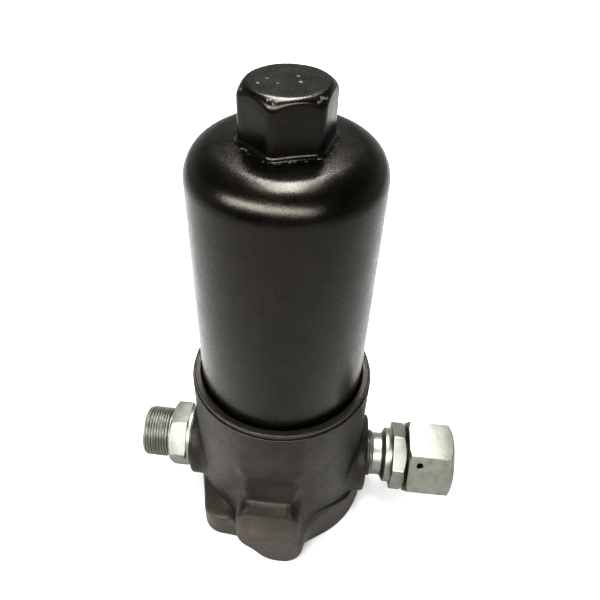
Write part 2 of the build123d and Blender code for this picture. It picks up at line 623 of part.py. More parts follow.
def bypass_spring():
    """Round-wire coil, ground flat at both ends."""
    height = SPRING_TOP - SPRING_LOW
    path = Helix(height / SPRING_TURNS, height, SPRING_RADIUS)
    wire_plane = Plane(origin=path @ 0, z_dir=path % 0)
    coil = sweep(wire_plane * Circle(SPRING_WIRE_RADIUS), path, is_frenet=True)
    reach = 4 * SPRING_RADIUS
    keep = Box(reach, reach, height, align=(Align.CENTER, Align.CENTER, Align.MIN))
    return Pos(VALVE_X, 0, SPRING_LOW) * (coil & keep)


def bypass_spring_retainer():
    return Pos(VALVE_X, 0, 0) * ring(POPPET_STEM_RADIUS + 2 * FIT, VALVE_CAGE_BORE - FIT, RETAINER_LOW, SPRING_LOW)


def bypass_circlip():
    """Open ring sprung into the cage's groove."""
    outer = VALVE_CAGE_BORE + CIRCLIP_GROOVE_DEPTH - FIT
    clip = ring(outer - CIRCLIP_SECTION, outer, CIRCLIP_LOW, RETAINER_LOW)
    gap = Box(2 * outer, CIRCLIP_SPRING_GAP, 8 * CIRCLIP_THICKNESS, align=(Align.MIN, Align.CENTER, Align.CENTER))
    return Pos(VALVE_X, 0, 0) * (clip - Pos(0, 0, CIRCLIP_LOW) * gap)


def at_port(side, shape):
    """Moves a shape built along +Z from its port face to the inlet (-1) or outlet (+1) port."""
    seat = Plane(origin=(side * PORT_FACE, 0, PORT_HEIGHT), x_dir=(0, -1, 0), z_dir=(side, 0, 0))
    return seat.location * shape


def inlet_stud_fitting():
    """Male stud with collar, hexagon and threaded tube end with its 24 degree cone."""
    collar = INLET_SEAL_THICKNESS
    hexagon = collar + INLET_COLLAR_LENGTH
    relief = hexagon + INLET_HEX_LENGTH
    thread = relief + INLET_RELIEF_LENGTH
    end = thread + TUBE_THREAD_LENGTH
    stud = LOOSE_FIT - PORT_THREAD_DEPTH
    stud_radius = PORT_THREAD_RADIUS - FIT
    socket = end - TUBE_CONE_LENGTH
    stop = socket - TUBE_SOCKET_LENGTH
    body = turned([
        (FITTING_BORE_RADIUS, stud), (stud_radius - 1.2, stud), (stud_radius, stud + 1.2), (stud_radius, 0),
        (stud_radius - 1.0, 0), (stud_radius - 1.0, collar), (INLET_COLLAR_RADIUS, collar),
        (INLET_COLLAR_RADIUS, relief), (INLET_RELIEF_RADIUS, relief), (INLET_RELIEF_RADIUS, thread),
        (TUBE_THREAD_RADIUS, thread + 0.8), (TUBE_THREAD_RADIUS, end - TUBE_THREAD_CHAMFER),
        (TUBE_THREAD_RADIUS - TUBE_THREAD_CHAMFER, end), (TUBE_RADIUS + TUBE_CONE_LENGTH * HALF_TURN_CONE, end),
        (TUBE_RADIUS, socket), (TUBE_RADIUS, stop), (FITTING_BORE_RADIUS, stop),
    ])
    crown = FITTING_HEX_FLATS / 2 - 0.2
    nut = hex_bar(FITTING_HEX_FLATS, hexagon, relief, INLET_HEX_TURN, (crown, crown))
    return at_port(-1, body + (nut - post(INLET_COLLAR_RADIUS - 1, hexagon - 1, relief + 1)))


def inlet_seal_ring():
    return at_port(-1, ring(PORT_THREAD_RADIUS - FIT, INLET_SEAL_RADIUS, 0, INLET_SEAL_THICKNESS))


def outlet_stations():
    """Distances from the outlet port face to the hexagon's end, the stem's cone and its tip."""
    hex_end = OUTLET_HEX_START + OUTLET_HEX_LENGTH
    tip = hex_end + NUT_GAP + NUT_LENGTH - NUT_MOUTH_CHAMFER - NUT_THREAD_LENGTH - LOOSE_FIT
    return hex_end, tip - STEM_CONE_LENGTH, tip


def outlet_stud_fitting():
    """Male stud with a bare neck, collar, hexagon and the coned stem inside the nut."""
    hex_end, cone, tip = outlet_stations()
    stud = LOOSE_FIT - PORT_THREAD_DEPTH
    stud_radius = PORT_THREAD_RADIUS - FIT
    showing = OUTLET_THREAD_SHOWING
    tip_radius = STEM_RADIUS - STEM_CONE_LENGTH * HALF_TURN_CONE
    body = turned([
        (FITTING_BORE_RADIUS, stud), (stud_radius - 1.2, stud), (stud_radius, stud + 1.2),
        (stud_radius, showing), (OUTLET_NECK_RADIUS, showing + 1.5), (OUTLET_NECK_RADIUS, OUTLET_NECK_END),
        (OUTLET_COLLAR_RADIUS, OUTLET_COLLAR_START), (OUTLET_COLLAR_RADIUS, OUTLET_HEX_START),
        (OUTLET_COLLAR_RADIUS, hex_end), (STEM_RADIUS, hex_end), (STEM_RADIUS, cone), (tip_radius, tip),
        (STEM_BORE_RADIUS, tip), (STEM_BORE_RADIUS, OUTLET_HEX_START), (FITTING_BORE_RADIUS, OUTLET_COLLAR_START),
    ])
    crown = FITTING_HEX_FLATS / 2 - 0.2
    flats = hex_bar(FITTING_HEX_FLATS, OUTLET_HEX_START, hex_end, -OUTLET_HEX_TURN, (crown, crown))
    body += flats - post(OUTLET_COLLAR_RADIUS - 1, OUTLET_HEX_START - 1, hex_end + 1)
    body -= cord_ring(STEM_RADIUS + FIT, WIRE_RADIUS + 2 * FIT, hex_end + NUT_GAP + WIRE_STATION)
    groove_radius, groove_low, groove_high = cone_groove()
    body -= ring(groove_radius, STEM_RADIUS + 1, groove_low, groove_high)
    return at_port(1, body)


def cone_groove():
    """Bottom radius and the two ends of the cord groove in the stem's cone."""
    hex_end, cone, tip = outlet_stations()
    middle = cone + 0.45 * STEM_CONE_LENGTH
    surface = STEM_RADIUS - (middle - cone) * HALF_TURN_CONE
    width = 2.5 * CONE_CORD_RADIUS
    return surface - 1.45 * CONE_CORD_RADIUS, middle - width / 2, middle + width / 2


def cone_o_ring():
    radius, low, high = cone_groove()
    return at_port(1, cord_ring(radius + SEAL_FIT + CONE_CORD_RADIUS, CONE_CORD_RADIUS, (low + high) / 2))


def outlet_seal_ring():
    """O-ring squeezed between the stud and the seal bore at the port's mouth."""
    centre = (OUTLET_SEAL_GROOVE_RADIUS + PORT_THREAD_RADIUS) / 2
    width = (OUTLET_SEAL_GROOVE_RADIUS - PORT_THREAD_RADIUS) / 2 - SEAL_FIT
    section = Plane.XZ * Pos(centre, -OUTLET_SEAL_GROOVE_DEPTH / 2) * Ellipse(width, OUTLET_SEAL_CORD_RADIUS)
    return at_port(1, revolve(section, Axis.Z))


def swivel_nut():
    """Union nut: plain bore over the stem, relief and tube thread at its mouth."""
    hex_end, cone, tip = outlet_stations()
    back = hex_end + NUT_GAP
    front = back + NUT_LENGTH
    thread_high = front - NUT_MOUTH_CHAMFER
    thread_low = thread_high - NUT_THREAD_LENGTH
    relief_low = thread_low - NUT_RELIEF_LENGTH
    crowns = (NUT_FLATS / 2 + 0.8, NUT_END_RADIUS - 1.5)
    nut = hex_bar(NUT_FLATS, back, front, -NUT_TURN, crowns)
    nut -= turned([
        (0, back - 1), (NUT_BORE_RADIUS + 0.6, back - 1), (NUT_BORE_RADIUS + 0.6, back), (NUT_BORE_RADIUS, back + 0.6),
        (NUT_BORE_RADIUS, relief_low - 1.5), (NUT_RELIEF_RADIUS, relief_low), (NUT_RELIEF_RADIUS, thread_low),
        (NUT_THREAD_RADIUS, thread_low), (NUT_THREAD_RADIUS, thread_high),
        (NUT_THREAD_RADIUS + NUT_MOUTH_CHAMFER, front), (NUT_THREAD_RADIUS + NUT_MOUTH_CHAMFER, front + 1),
        (0, front + 1),
    ])
    station = back + WIRE_STATION
    nut -= cord_ring(NUT_BORE_RADIUS - FIT, WIRE_RADIUS + FIT, station)
    facet = HEX_HALF_SECTOR - NUT_TURN
    drill = Rot(0, 90, 0) * Cylinder(WIRE_HOLE_RADIUS, NUT_FLATS / 2, align=(Align.CENTER, Align.CENTER, Align.MIN))
    inner_end = math.sqrt(NUT_BORE_RADIUS ** 2 - WIRE_HOLE_OFFSET ** 2)
    nut -= Rot(0, 0, facet) * Pos(inner_end, -WIRE_HOLE_OFFSET, station) * drill
    return at_port(1, nut)


def swivel_retaining_wire():
    """Wire that runs in the matching grooves of the stem and the nut, open at its two ends."""
    hex_end, cone, tip = outlet_stations()
    station = hex_end + NUT_GAP + WIRE_STATION
    section = Plane.XZ * Pos(STEM_RADIUS + FIT, 0) * Circle(WIRE_RADIUS)
    wire = revolve(section, Axis.Z, 360 - WIRE_GAP_ANGLE)
    return at_port(1, Pos(0, 0, station) * wire)


NODES = {
    "filter_head": filter_head,
    "filter_bowl": filter_bowl,
    "bowl_o_ring": bowl_o_ring,
    "bowl_backup_ring": bowl_backup_ring,
    "element_open_end_cap": element_open_end_cap,
    "element_closed_end_cap": element_closed_end_cap,
    "element_core_tube": element_core_tube,
    "element_pleated_media": element_pleated_media,
    "element_outer_sleeve": element_outer_sleeve,
    "element_o_ring": element_o_ring,
    "bypass_valve_cage": bypass_valve_cage,
    "bypass_poppet": bypass_poppet,
    "bypass_spring": bypass_spring,
    "bypass_spring_retainer": bypass_spring_retainer,
    "bypass_circlip": bypass_circlip,
    "inlet_stud_fitting": inlet_stud_fitting,
    "inlet_seal_ring": inlet_seal_ring,
    "outlet_stud_fitting": outlet_stud_fitting,
    "outlet_seal_ring": outlet_seal_ring,
    "cone_o_ring": cone_o_ring,
    "swivel_nut": swivel_nut,
    "swivel_retaining_wire": swivel_retaining_wire,
}

os.makedirs("parts", exist_ok=True)
for name, make in NODES.items():
    shape = make()
    print(name, round(shape.volume), "mm3")
    export_step(shape, f"parts/{name}.step")
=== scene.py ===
# %% [markdown]
# # A hydraulic filter, dressed piece by piece
# The filter stands upside down on its cast head, as on a shelf: black bowl on top, a bright tube fitting
# in each side. The imported CAD model gives the place of every piece, so we load it first and never move it.
# We also read the box of a piece where we need its size.

# %% Load the frame
import bpy
import bmesh
import math
import numpy as np
from mathutils import Matrix, Vector


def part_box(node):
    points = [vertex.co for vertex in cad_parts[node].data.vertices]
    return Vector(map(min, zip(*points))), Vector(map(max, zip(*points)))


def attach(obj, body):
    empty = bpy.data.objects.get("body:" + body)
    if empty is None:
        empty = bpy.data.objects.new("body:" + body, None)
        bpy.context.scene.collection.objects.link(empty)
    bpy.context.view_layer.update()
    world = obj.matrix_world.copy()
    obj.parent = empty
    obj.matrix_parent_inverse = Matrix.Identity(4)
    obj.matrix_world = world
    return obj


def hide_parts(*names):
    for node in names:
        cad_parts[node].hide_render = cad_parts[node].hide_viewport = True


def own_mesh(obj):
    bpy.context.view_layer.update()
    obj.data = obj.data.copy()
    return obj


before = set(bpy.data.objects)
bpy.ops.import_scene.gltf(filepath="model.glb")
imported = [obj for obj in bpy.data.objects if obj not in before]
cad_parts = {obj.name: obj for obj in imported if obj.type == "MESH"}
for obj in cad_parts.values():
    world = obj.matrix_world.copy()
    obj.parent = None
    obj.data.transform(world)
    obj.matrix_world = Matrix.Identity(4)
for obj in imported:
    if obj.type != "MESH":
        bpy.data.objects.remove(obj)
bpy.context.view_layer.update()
MM = 0.001

# %% [markdown]
# ## Camera
# The picture we follow was taken from above, a little to the right of the filter's front. A camera is placed
# by its position, the direction it looks in and its focal length. All of these were worked out from the ovals
# that the round rim and bowl make in the picture. The small sideways shift stands for the picture's crop.

# %% Place the camera
CAMERA_AT = Vector((23.86, -262.70, 415.05)) * MM
LOOK_TURN = math.radians(6.86)
LOOK_DOWN = math.radians(42.18)
CAMERA_ROLL = math.radians(0.22)
PICTURE_SIDE = 600
FOCAL_PIXELS = 612.1
SENSOR_MM = 36.0
CROP_SHIFT = 0.05
NEAREST_SEEN = 0.01

camera_data = bpy.data.cameras.new("camera")
camera_data.sensor_width = SENSOR_MM
camera_data.lens = FOCAL_PIXELS / PICTURE_SIDE * SENSOR_MM
camera_data.shift_x = CROP_SHIFT
camera_data.clip_start = NEAREST_SEEN
camera = bpy.data.objects.new("camera", camera_data)
camera.location = CAMERA_AT
turn = Matrix.Rotation(LOOK_TURN, 3, "Z") @ Matrix.Rotation(math.pi / 2 - LOOK_DOWN, 3, "X")
camera.rotation_euler = (turn @ Matrix.Rotation(CAMERA_ROLL, 3, "Z")).to_euler()
bpy.context.scene.collection.objects.link(camera)
bpy.context.scene.camera = camera
print("lens", round(camera_data.lens, 2), "mm")

# %% [markdown]
# ## Surroundings
# The filter was photographed on white. We let the surroundings be white behind the filter and dark in front
# of it, like a room behind the camera. The glossy paint mirrors the white part as pale bands at its edges,
# and the bowl's front stays black. Higher up the white fades, or the hexagon's top would mirror it as grey.

# %% Surroundings
scene = bpy.context.scene
scene.view_settings.view_transform = "Standard"
scene.view_settings.look = "Very High Contrast"
print("view:", scene.view_settings.view_transform, scene.view_settings.look)


def stretched(tree, value, span, result):
    """Adds a Map Range node that turns one span of numbers into another."""
    node = tree.nodes.new("ShaderNodeMapRange")
    for socket, number in zip(("From Min", "From Max", "To Min", "To Max"), (*span, *result)):
        node.inputs[socket].default_value = number
    tree.links.new(value, node.inputs["Value"])
    return node.outputs["Result"]


# %% White behind, dark in front
FRONT_LIGHT, BACK_LIGHT, HIGH_SHARE = 0.02, 0.78, 0.25
FRONT_TO_BACK = (-0.75, 0.25)
LOW_TO_HIGH = (0.05, 0.45)

world = bpy.data.worlds.new("surroundings")
scene.world = world
world.use_nodes = True
tree = world.node_tree
tree.nodes.clear()
out = tree.nodes.new("ShaderNodeOutputWorld")
shade = tree.nodes.new("ShaderNodeBackground")
where = tree.nodes.new("ShaderNodeTexCoord")
split = tree.nodes.new("ShaderNodeSeparateXYZ")
fade = tree.nodes.new("ShaderNodeMath")
fade.operation = "MULTIPLY"
link = tree.links.new
link(where.outputs["Generated"], split.inputs[0])
link(stretched(tree, split.outputs["Y"], FRONT_TO_BACK, (FRONT_LIGHT, BACK_LIGHT)), fade.inputs[0])
link(stretched(tree, split.outputs["Z"], LOW_TO_HIGH, (1.0, HIGH_SHARE)), fade.inputs[1])
link(fade.outputs[0], shade.inputs["Strength"])
link(shade.outputs[0], out.inputs["Surface"])
print(world.name, len(tree.nodes), "nodes")

# %% [markdown]
# ## Lamps and floor
# Wide lamps give soft light without hard shadows. One stands in front and above, like a window, and draws the
# soft line on the bowl's shoulder. One hangs overhead for the tops of the fittings and the rim. The third is
# turned away from the filter and only lights the far floor, so that it isn't grey behind the bowl.

# %% Lamps
def soft_lamp(name, size, power, place, target):
    """A rectangular area lamp, in metres, that looks at a point."""
    data = bpy.data.lights.new(name, "AREA")
    data.shape = "RECTANGLE"
    data.size, data.size_y = size
    data.energy = power
    lamp = bpy.data.objects.new(name, data)
    lamp.location = Vector(place)
    lamp.rotation_euler = (Vector(target) - Vector(place)).to_track_quat("-Z", "Y").to_euler()
    scene.collection.objects.link(lamp)
    print(name, "gives", power, "W")


soft_lamp("lamp_window", size=(2.6, 0.40), power=45.0, place=(-0.25, -1.00, 0.94), target=(0, -0.04, 0.26))
soft_lamp("lamp_ceiling", size=(0.46, 1.1), power=30.0, place=(-0.03, 0.38, 1.35), target=(0, 0.0, 0.28))
soft_lamp("lamp_far_floor", size=(3.4, 1.0), power=22.0, place=(0, 1.3, 1.2), target=(0, 2.1, 0))

# %% Floor
FLOOR_SIZE = 6.0
FLOOR_DROP = 0.0005
FLOOR_COLOUR = (0.54, 0.54, 0.54, 1)
FLOOR_ROUGHNESS = 0.9

half = FLOOR_SIZE / 2
floor_mesh = bpy.data.meshes.new("floor")
floor_corners = [(-half, -half, 0), (half, -half, 0), (half, half, 0), (-half, half, 0)]
floor_mesh.from_pydata(floor_corners, [], [(0, 1, 2, 3)])
floor = bpy.data.objects.new("floor", floor_mesh)
floor.location = (0, 0, -FLOOR_DROP)
scene.collection.objects.link(floor)
floor_paint = bpy.data.materials.new("floor_white")
floor_paint.use_nodes = True
floor_shader = floor_paint.node_tree.nodes["Principled BSDF"]
floor_shader.inputs["Base Color"].default_value = FLOOR_COLOUR
floor_shader.inputs["Roughness"].default_value = FLOOR_ROUGHNESS
floor_mesh.materials.append(floor_paint)
print("floor", FLOOR_SIZE, "m wide")

# %% [markdown]
# ## Small helpers for materials
# Every finish here is built from nodes: noise gives the grain, a ramp turns it into colours, and a bump node
# turns it into height. These helpers keep the later cells short. Each finish starts from one Principled
# shader, and only its colour, roughness, metal share and normal are driven by nodes.

# %% Node helpers
MIX_FIRST, MIX_SECOND, MIX_RESULT = 6, 7, 2


class Finish:
    """One material, with short calls that add a node and join it to the ones before."""

    def __init__(self, name, colour, roughness, metallic=0.0, shine=None):
        self.material = bpy.data.materials.new(name)
        self.material.use_nodes = True
        self.nodes = self.material.node_tree.nodes
        self.links = self.material.node_tree.links
        self.shader = self.nodes["Principled BSDF"]
        start = {"Base Color": (*colour, 1.0), "Roughness": roughness, "Metallic": metallic, **(shine or {})}
        for socket, value in start.items():
            self.shader.inputs[socket].default_value = value
        self.place = self.nodes.new("ShaderNodeTexCoord").outputs["Object"]
        self.axes = None

    def scaled(self, size_mm, stretch=(1, 1, 1)):
        """The place on the piece, counted in steps of size_mm."""
        node = self.nodes.new("ShaderNodeMapping")
        node.inputs["Scale"].default_value = [share / (size_mm * MM) for share in stretch]
        self.links.new(self.place, node.inputs["Vector"])
        return node.outputs["Vector"]

    def noise(self, size_mm, detail=4.0, rough=0.55, stretch=(1, 1, 1)):
        """Noise whose spots are about size_mm across."""
        node = self.nodes.new("ShaderNodeTexNoise")
        node.inputs["Scale"].default_value = 1.0
        node.inputs["Detail"].default_value = detail
        node.inputs["Roughness"].default_value = rough
        self.links.new(self.scaled(size_mm, stretch), node.inputs["Vector"])
        return node.outputs["Fac"]

    def cells(self, size_mm):
        """Distance to the nearest of many scattered points, as for pits and spots."""
        node = self.nodes.new("ShaderNodeTexVoronoi")
        node.inputs["Scale"].default_value = 1.0
        self.links.new(self.scaled(size_mm), node.inputs["Vector"])
        return node.outputs["Distance"]

    def band(self, axis, start_mm, end_mm):
        """Goes from 0 to 1 between two places along an axis of the filter."""
        if self.axes is None:
            self.axes = self.nodes.new("ShaderNodeSeparateXYZ")
            self.links.new(self.place, self.axes.inputs[0])
        return self.ramp(self.axes.outputs[axis], start_mm * MM, end_mm * MM)

    def painted(self, attribute):
        """A mask that was stored on the mesh's points."""
        node = self.nodes.new("ShaderNodeAttribute")
        node.attribute_name = attribute
        return node.outputs["Fac"]

    def ramp(self, value, low, high, to_low=0.0, to_high=1.0):
        """Stretches the part of value between low and high."""
        return stretched(self.material.node_tree, value, (low, high), (to_low, to_high))

    def calc(self, operation, a, b):
        node = self.nodes.new("ShaderNodeMath")
        node.operation = operation
        for socket, value in zip(node.inputs, (a, b)):
            if isinstance(value, (int, float)):
                socket.default_value = value
            else:
                self.links.new(value, socket)
        return node.outputs[0]

    def mix(self, share, first, second):
        """Colour that goes from first to second as share goes from 0 to 1."""
        node = self.nodes.new("ShaderNodeMix")
        node.data_type = "RGBA"
        self.links.new(share, node.inputs["Factor"])
        for socket, colour in ((node.inputs[MIX_FIRST], first), (node.inputs[MIX_SECOND], second)):
            if isinstance(colour, tuple):
                socket.default_value = (*colour, 1.0)
            else:
                self.links.new(colour, socket)
        return node.outputs[MIX_RESULT]

    def colour(self, output):
        self.links.new(output, self.shader.inputs["Base Color"])

    def roughness(self, output):
        self.links.new(output, self.shader.inputs["Roughness"])

    def metallic(self, output):
        self.links.new(output, self.shader.inputs["Metallic"])

    def bump(self, height, depth_mm):
        """Adds relief of about depth_mm; several calls lie on top of each other."""
        node = self.nodes.new("ShaderNodeBump")
        node.inputs["Strength"].default_value = 1.0
        node.inputs["Distance"].default_value = depth_mm * MM
        self.links.new(height, node.inputs["Height"])
        normal = self.shader.inputs["Normal"]
        if normal.is_linked:
            self.links.new(normal.links[0].from_socket, node.inputs["Normal"])
        self.links.new(node.outputs["Normal"], normal)


# %% [markdown]
# ## Bowl paint
# The steel bowl is sprayed with black semi-gloss paint. Such paint is never quite flat: it has a faint orange
# peel a few millimetres across, and dust gives it fine grain. Handling has rubbed it through to bare steel on
# the hexagon's edges. The mesh carries a mask of wear and painted highlight, which the bowl's cells paint
# along those edges, and along the hexagon's root fillet as a painted highlight in the same bare-steel colour.

# %% Bowl paint
PAINT_SHINE = {"Specular IOR Level": 0.36, "Specular Tint": (1.0, 0.95, 0.87, 1.0)}
PAINT_DARK = (0.0034, 0.0029, 0.0020)
PAINT_DUSTY = (0.0062, 0.0054, 0.0040)
# Bare steel where the paint is rubbed off; the same colour paints the highlight along the hexagon's root.
RUBBED_STEEL_AND_HIGHLIGHT = (0.20, 0.195, 0.18)


def make_bowl_paint():
    paint = Finish("bowl_black_paint", (0.012, 0.011, 0.009), 0.3, shine=PAINT_SHINE)
    # The mask holds wear on the hexagon's top and edges, and a painted highlight along its root fillet.
    wear_and_highlight_streaks = paint.calc("ADD", paint.painted("wear_and_highlight"), paint.noise(2.4, 5, 0.6))
    worn_and_highlit = paint.ramp(wear_and_highlight_streaks, 0.98, 1.14)
    dust = paint.ramp(paint.noise(9.0, 5), 0.35, 0.7)
    black = paint.mix(dust, PAINT_DARK, PAINT_DUSTY)
    paint.colour(paint.mix(worn_and_highlit, black, RUBBED_STEEL_AND_HIGHLIGHT))
    paint.metallic(paint.ramp(worn_and_highlit, 0.2, 0.9, 0.0, 0.7))
    uneven = paint.ramp(paint.noise(14.0, 4), 0.3, 0.7, 0.23, 0.31)
    fine = paint.ramp(paint.noise(0.7, 3), 0.3, 0.7, -0.03, 0.05)
    paint.roughness(paint.calc("ADD", uneven, fine))
    paint.bump(paint.noise(2.6, 2), 0.06)
    paint.bump(paint.noise(0.5, 3), 0.014)
    return paint.material


bowl_paint = make_bowl_paint()
print(bowl_paint.name, len(bowl_paint.node_tree.nodes), "nodes")

# %% [markdown]
# ## Black cast iron
# The head was poured in a sand mould, so its skin shows sand grain about a millimetre across, shallow pits
# and slow waves. A thin black coat lies over it, duller than the bowl's paint. It is paler low on the foot
# and on the front boss, where hands and benches rub it, and brownish at the boss's upper left. The turned rim
# is smoother than the rest and shines a little more.

# %% Cast iron skin
CAST_SHINE = {"Specular IOR Level": 0.38, "Specular Tint": (1.0, 0.95, 0.88, 1.0)}
CAST_DARK = (0.0085, 0.0078, 0.0064)
CAST_LIGHT = (0.019, 0.017, 0.0138)
CAST_RUBBED = (0.050, 0.0455, 0.038)
CAST_TURNED = (0.060, 0.057, 0.051)
CAST_BROWN = (0.064, 0.051, 0.036)
CAST_GRAIN = (0.066, 0.060, 0.050)
RIM_SHARE = 0.25


def make_cast_black():
    cast = Finish("cast_iron_black", (0.015, 0.0135, 0.011), 0.42, shine=CAST_SHINE)
    patches = cast.ramp(cast.noise(22.0, 5), 0.35, 0.68)
    grain = cast.ramp(cast.noise(0.55, 4, 0.65), 0.3, 0.7)
    base = cast.mix(patches, CAST_DARK, CAST_LIGHT)
    low = cast.band("Z", 25.0, 21.0)
    face = cast.band("Y", -70.0, -72.0)
    rubbed = cast.calc("MULTIPLY", cast.calc("MAXIMUM", low, face), 0.6)
    base = cast.mix(rubbed, base, CAST_RUBBED)
    rim = cast.calc("MULTIPLY", cast.band("Z", 116.8, 117.6), RIM_SHARE)
    base = cast.mix(rim, base, CAST_TURNED)
    brown = cast.calc("MULTIPLY", face, cast.band("X", 0.0, -7.0))
    brown = cast.calc("MULTIPLY", brown, cast.band("Z", 22.0, 33.0))
    brown = cast.calc("MULTIPLY", brown, cast.ramp(cast.noise(6.0, 4), 0.30, 0.55))
    base = cast.mix(cast.calc("MULTIPLY", brown, 0.7), base, CAST_BROWN)
    cast.colour(cast.mix(cast.ramp(grain, 0.5, 1.0, 0.0, 0.45), base, CAST_GRAIN))
    skin_rough = cast.ramp(cast.noise(1.4, 4), 0.3, 0.7, 0.34, 0.54)
    cast.roughness(cast.calc("MULTIPLY", skin_rough, cast.ramp(rim, 0.0, RIM_SHARE, 1.0, 0.45)))
    for size_mm, detail, rough, depth_mm in ((9.0, 3, 0.55, 0.35), (1.7, 4, 0.65, 0.26), (0.7, 3, 0.6, 0.10)):
        cast.bump(cast.noise(size_mm, detail, rough), depth_mm)
    pits = cast.ramp(cast.cells(2.3), 0.0, 0.22)
    cast.bump(pits, 0.10)
    return cast.material


cast_black = make_cast_black()
print(cast_black.name, len(cast_black.node_tree.nodes), "nodes")

# %% [markdown]
# ## Zinc plating
# The tube fittings are turned from steel and zinc plated. The cutter leaves very fine rings round the part's
# own axis, here X, so the noise is fine along X and stretched long across it. Two finishes share one recipe:
# a bright one on the bodies, and a greyer, grainier one on the swivel nut.

# %% Zinc plating
RING_DEPTH = 0.003


def make_zinc(name, light, dark, rough, grain_depth):
    zinc = Finish(name, light, rough, metallic=1.0)
    clouds = zinc.ramp(zinc.noise(7.0, 5), 0.35, 0.68)
    specks = zinc.ramp(zinc.noise(0.8, 3), 0.35, 0.65)
    zinc.colour(zinc.mix(zinc.calc("MULTIPLY", clouds, specks), light, dark))
    zinc.roughness(zinc.ramp(zinc.noise(3.0, 5), 0.3, 0.7, rough - 0.06, rough + 0.08))
    zinc.bump(zinc.noise(0.35, 2, stretch=(1, 0.02, 0.02)), RING_DEPTH)
    zinc.bump(zinc.noise(0.7, 3), grain_depth)
    return zinc.material


bright_zinc = make_zinc(
    "zinc_bright", light=(0.225, 0.23, 0.207), dark=(0.14, 0.144, 0.128), rough=0.46, grain_depth=0.010)
grey_zinc = make_zinc(
    "zinc_grey", light=(0.215, 0.22, 0.192), dark=(0.14, 0.142, 0.122), rough=0.48, grain_depth=0.080)
print(bright_zinc.name, grey_zinc.name)

# %% [markdown]
# ## Inner finishes
# Rubber, plastic, sheet steel, turned steel, spring wire and filter medium are hidden while the bowl is on.
# They still get a finish each, because the bowl unscrews and the model may be opened.

# %% Inner finishes
def make_mottled(name, base, rough, spots_mm, low, dark, light, grain_mm, depth_mm):
    """Two near shades in soft spots, over a fine grain."""
    plain = Finish(name, base, rough)
    plain.colour(plain.mix(plain.ramp(plain.noise(spots_mm), low, 0.7), dark, light))
    plain.bump(plain.noise(grain_mm, 3), depth_mm)
    return plain.material


def make_steel(name, light, dark, rough, along):
    """Plain steel; along is the stretch of its fine drawing or rolling lines."""
    steel = Finish(name, light, rough, metallic=1.0)
    steel.colour(steel.mix(steel.ramp(steel.noise(6.0, 4), 0.35, 0.7), light, dark))
    steel.roughness(steel.ramp(steel.noise(2.0, 4), 0.3, 0.7, rough - 0.06, rough + 0.08))
    steel.bump(steel.noise(0.3, 2, stretch=along), 0.01)
    return steel.material


def make_medium():
    medium = Finish("filter_medium", (0.82, 0.80, 0.74), 0.85)
    fibres = medium.noise(0.8, 5, 0.7, stretch=(1, 1, 0.15))
    medium.colour(medium.mix(medium.ramp(fibres, 0.3, 0.7), (0.74, 0.72, 0.65), (0.88, 0.87, 0.82)))
    medium.bump(fibres, 0.08)
    return medium.material


seal_rubber = make_mottled(
    "seal_rubber", (0.018, 0.018, 0.018), 0.42, spots_mm=4.0, low=0.35,
    dark=(0.014, 0.014, 0.014), light=(0.03, 0.03, 0.03), grain_mm=0.6, depth_mm=0.02)
white_plastic = make_mottled(
    "backup_plastic", (0.82, 0.82, 0.78), 0.4, spots_mm=5.0, low=0.3,
    dark=(0.80, 0.80, 0.76), light=(0.88, 0.88, 0.85), grain_mm=0.5, depth_mm=0.015)
sheet_steel = make_steel("sheet_steel", (0.60, 0.61, 0.60), (0.48, 0.49, 0.48), 0.30, along=(1, 1, 0.05))
turned_steel = make_steel("turned_steel", (0.52, 0.52, 0.51), (0.40, 0.40, 0.39), 0.26, along=(0.05, 0.05, 1))
spring_wire = make_steel("spring_wire", (0.34, 0.34, 0.35), (0.22, 0.22, 0.23), 0.32, along=(0.2, 0.2, 0.2))
filter_medium = make_medium()
print("materials so far:", ", ".join(material.name for material in bpy.data.materials))

# %% [markdown]
# ## Turning shapes in code
# Most pieces here were turned on a lathe, so we make them the same way: a profile of radius and height is
# carried round the axis. A radius may also depend on the angle, and then the same rows of points make
# hexagons, rounded hexagons and threads. Neighbouring rows are joined by four-sided faces. The rows of a
# thread don't quite meet where a turn begins, so the bowl and the fittings begin theirs at the back.

# %% Rows of points
ROUND_STEPS = 192
BACK = 180
MERGE_DISTANCE = 1e-6


def angles_from(start_deg, count=ROUND_STEPS):
    return math.radians(start_deg) + np.linspace(0, 2 * math.pi, count, endpoint=False)


def row(radius, height, angles):
    """One ring of points about Z, in millimetres; radius and height may vary with the angle."""
    radius = np.broadcast_to(np.asarray(radius, float), angles.shape)
    height = np.broadcast_to(np.asarray(height, float), angles.shape)
    return np.stack([radius * np.cos(angles), radius * np.sin(angles), height], -1)


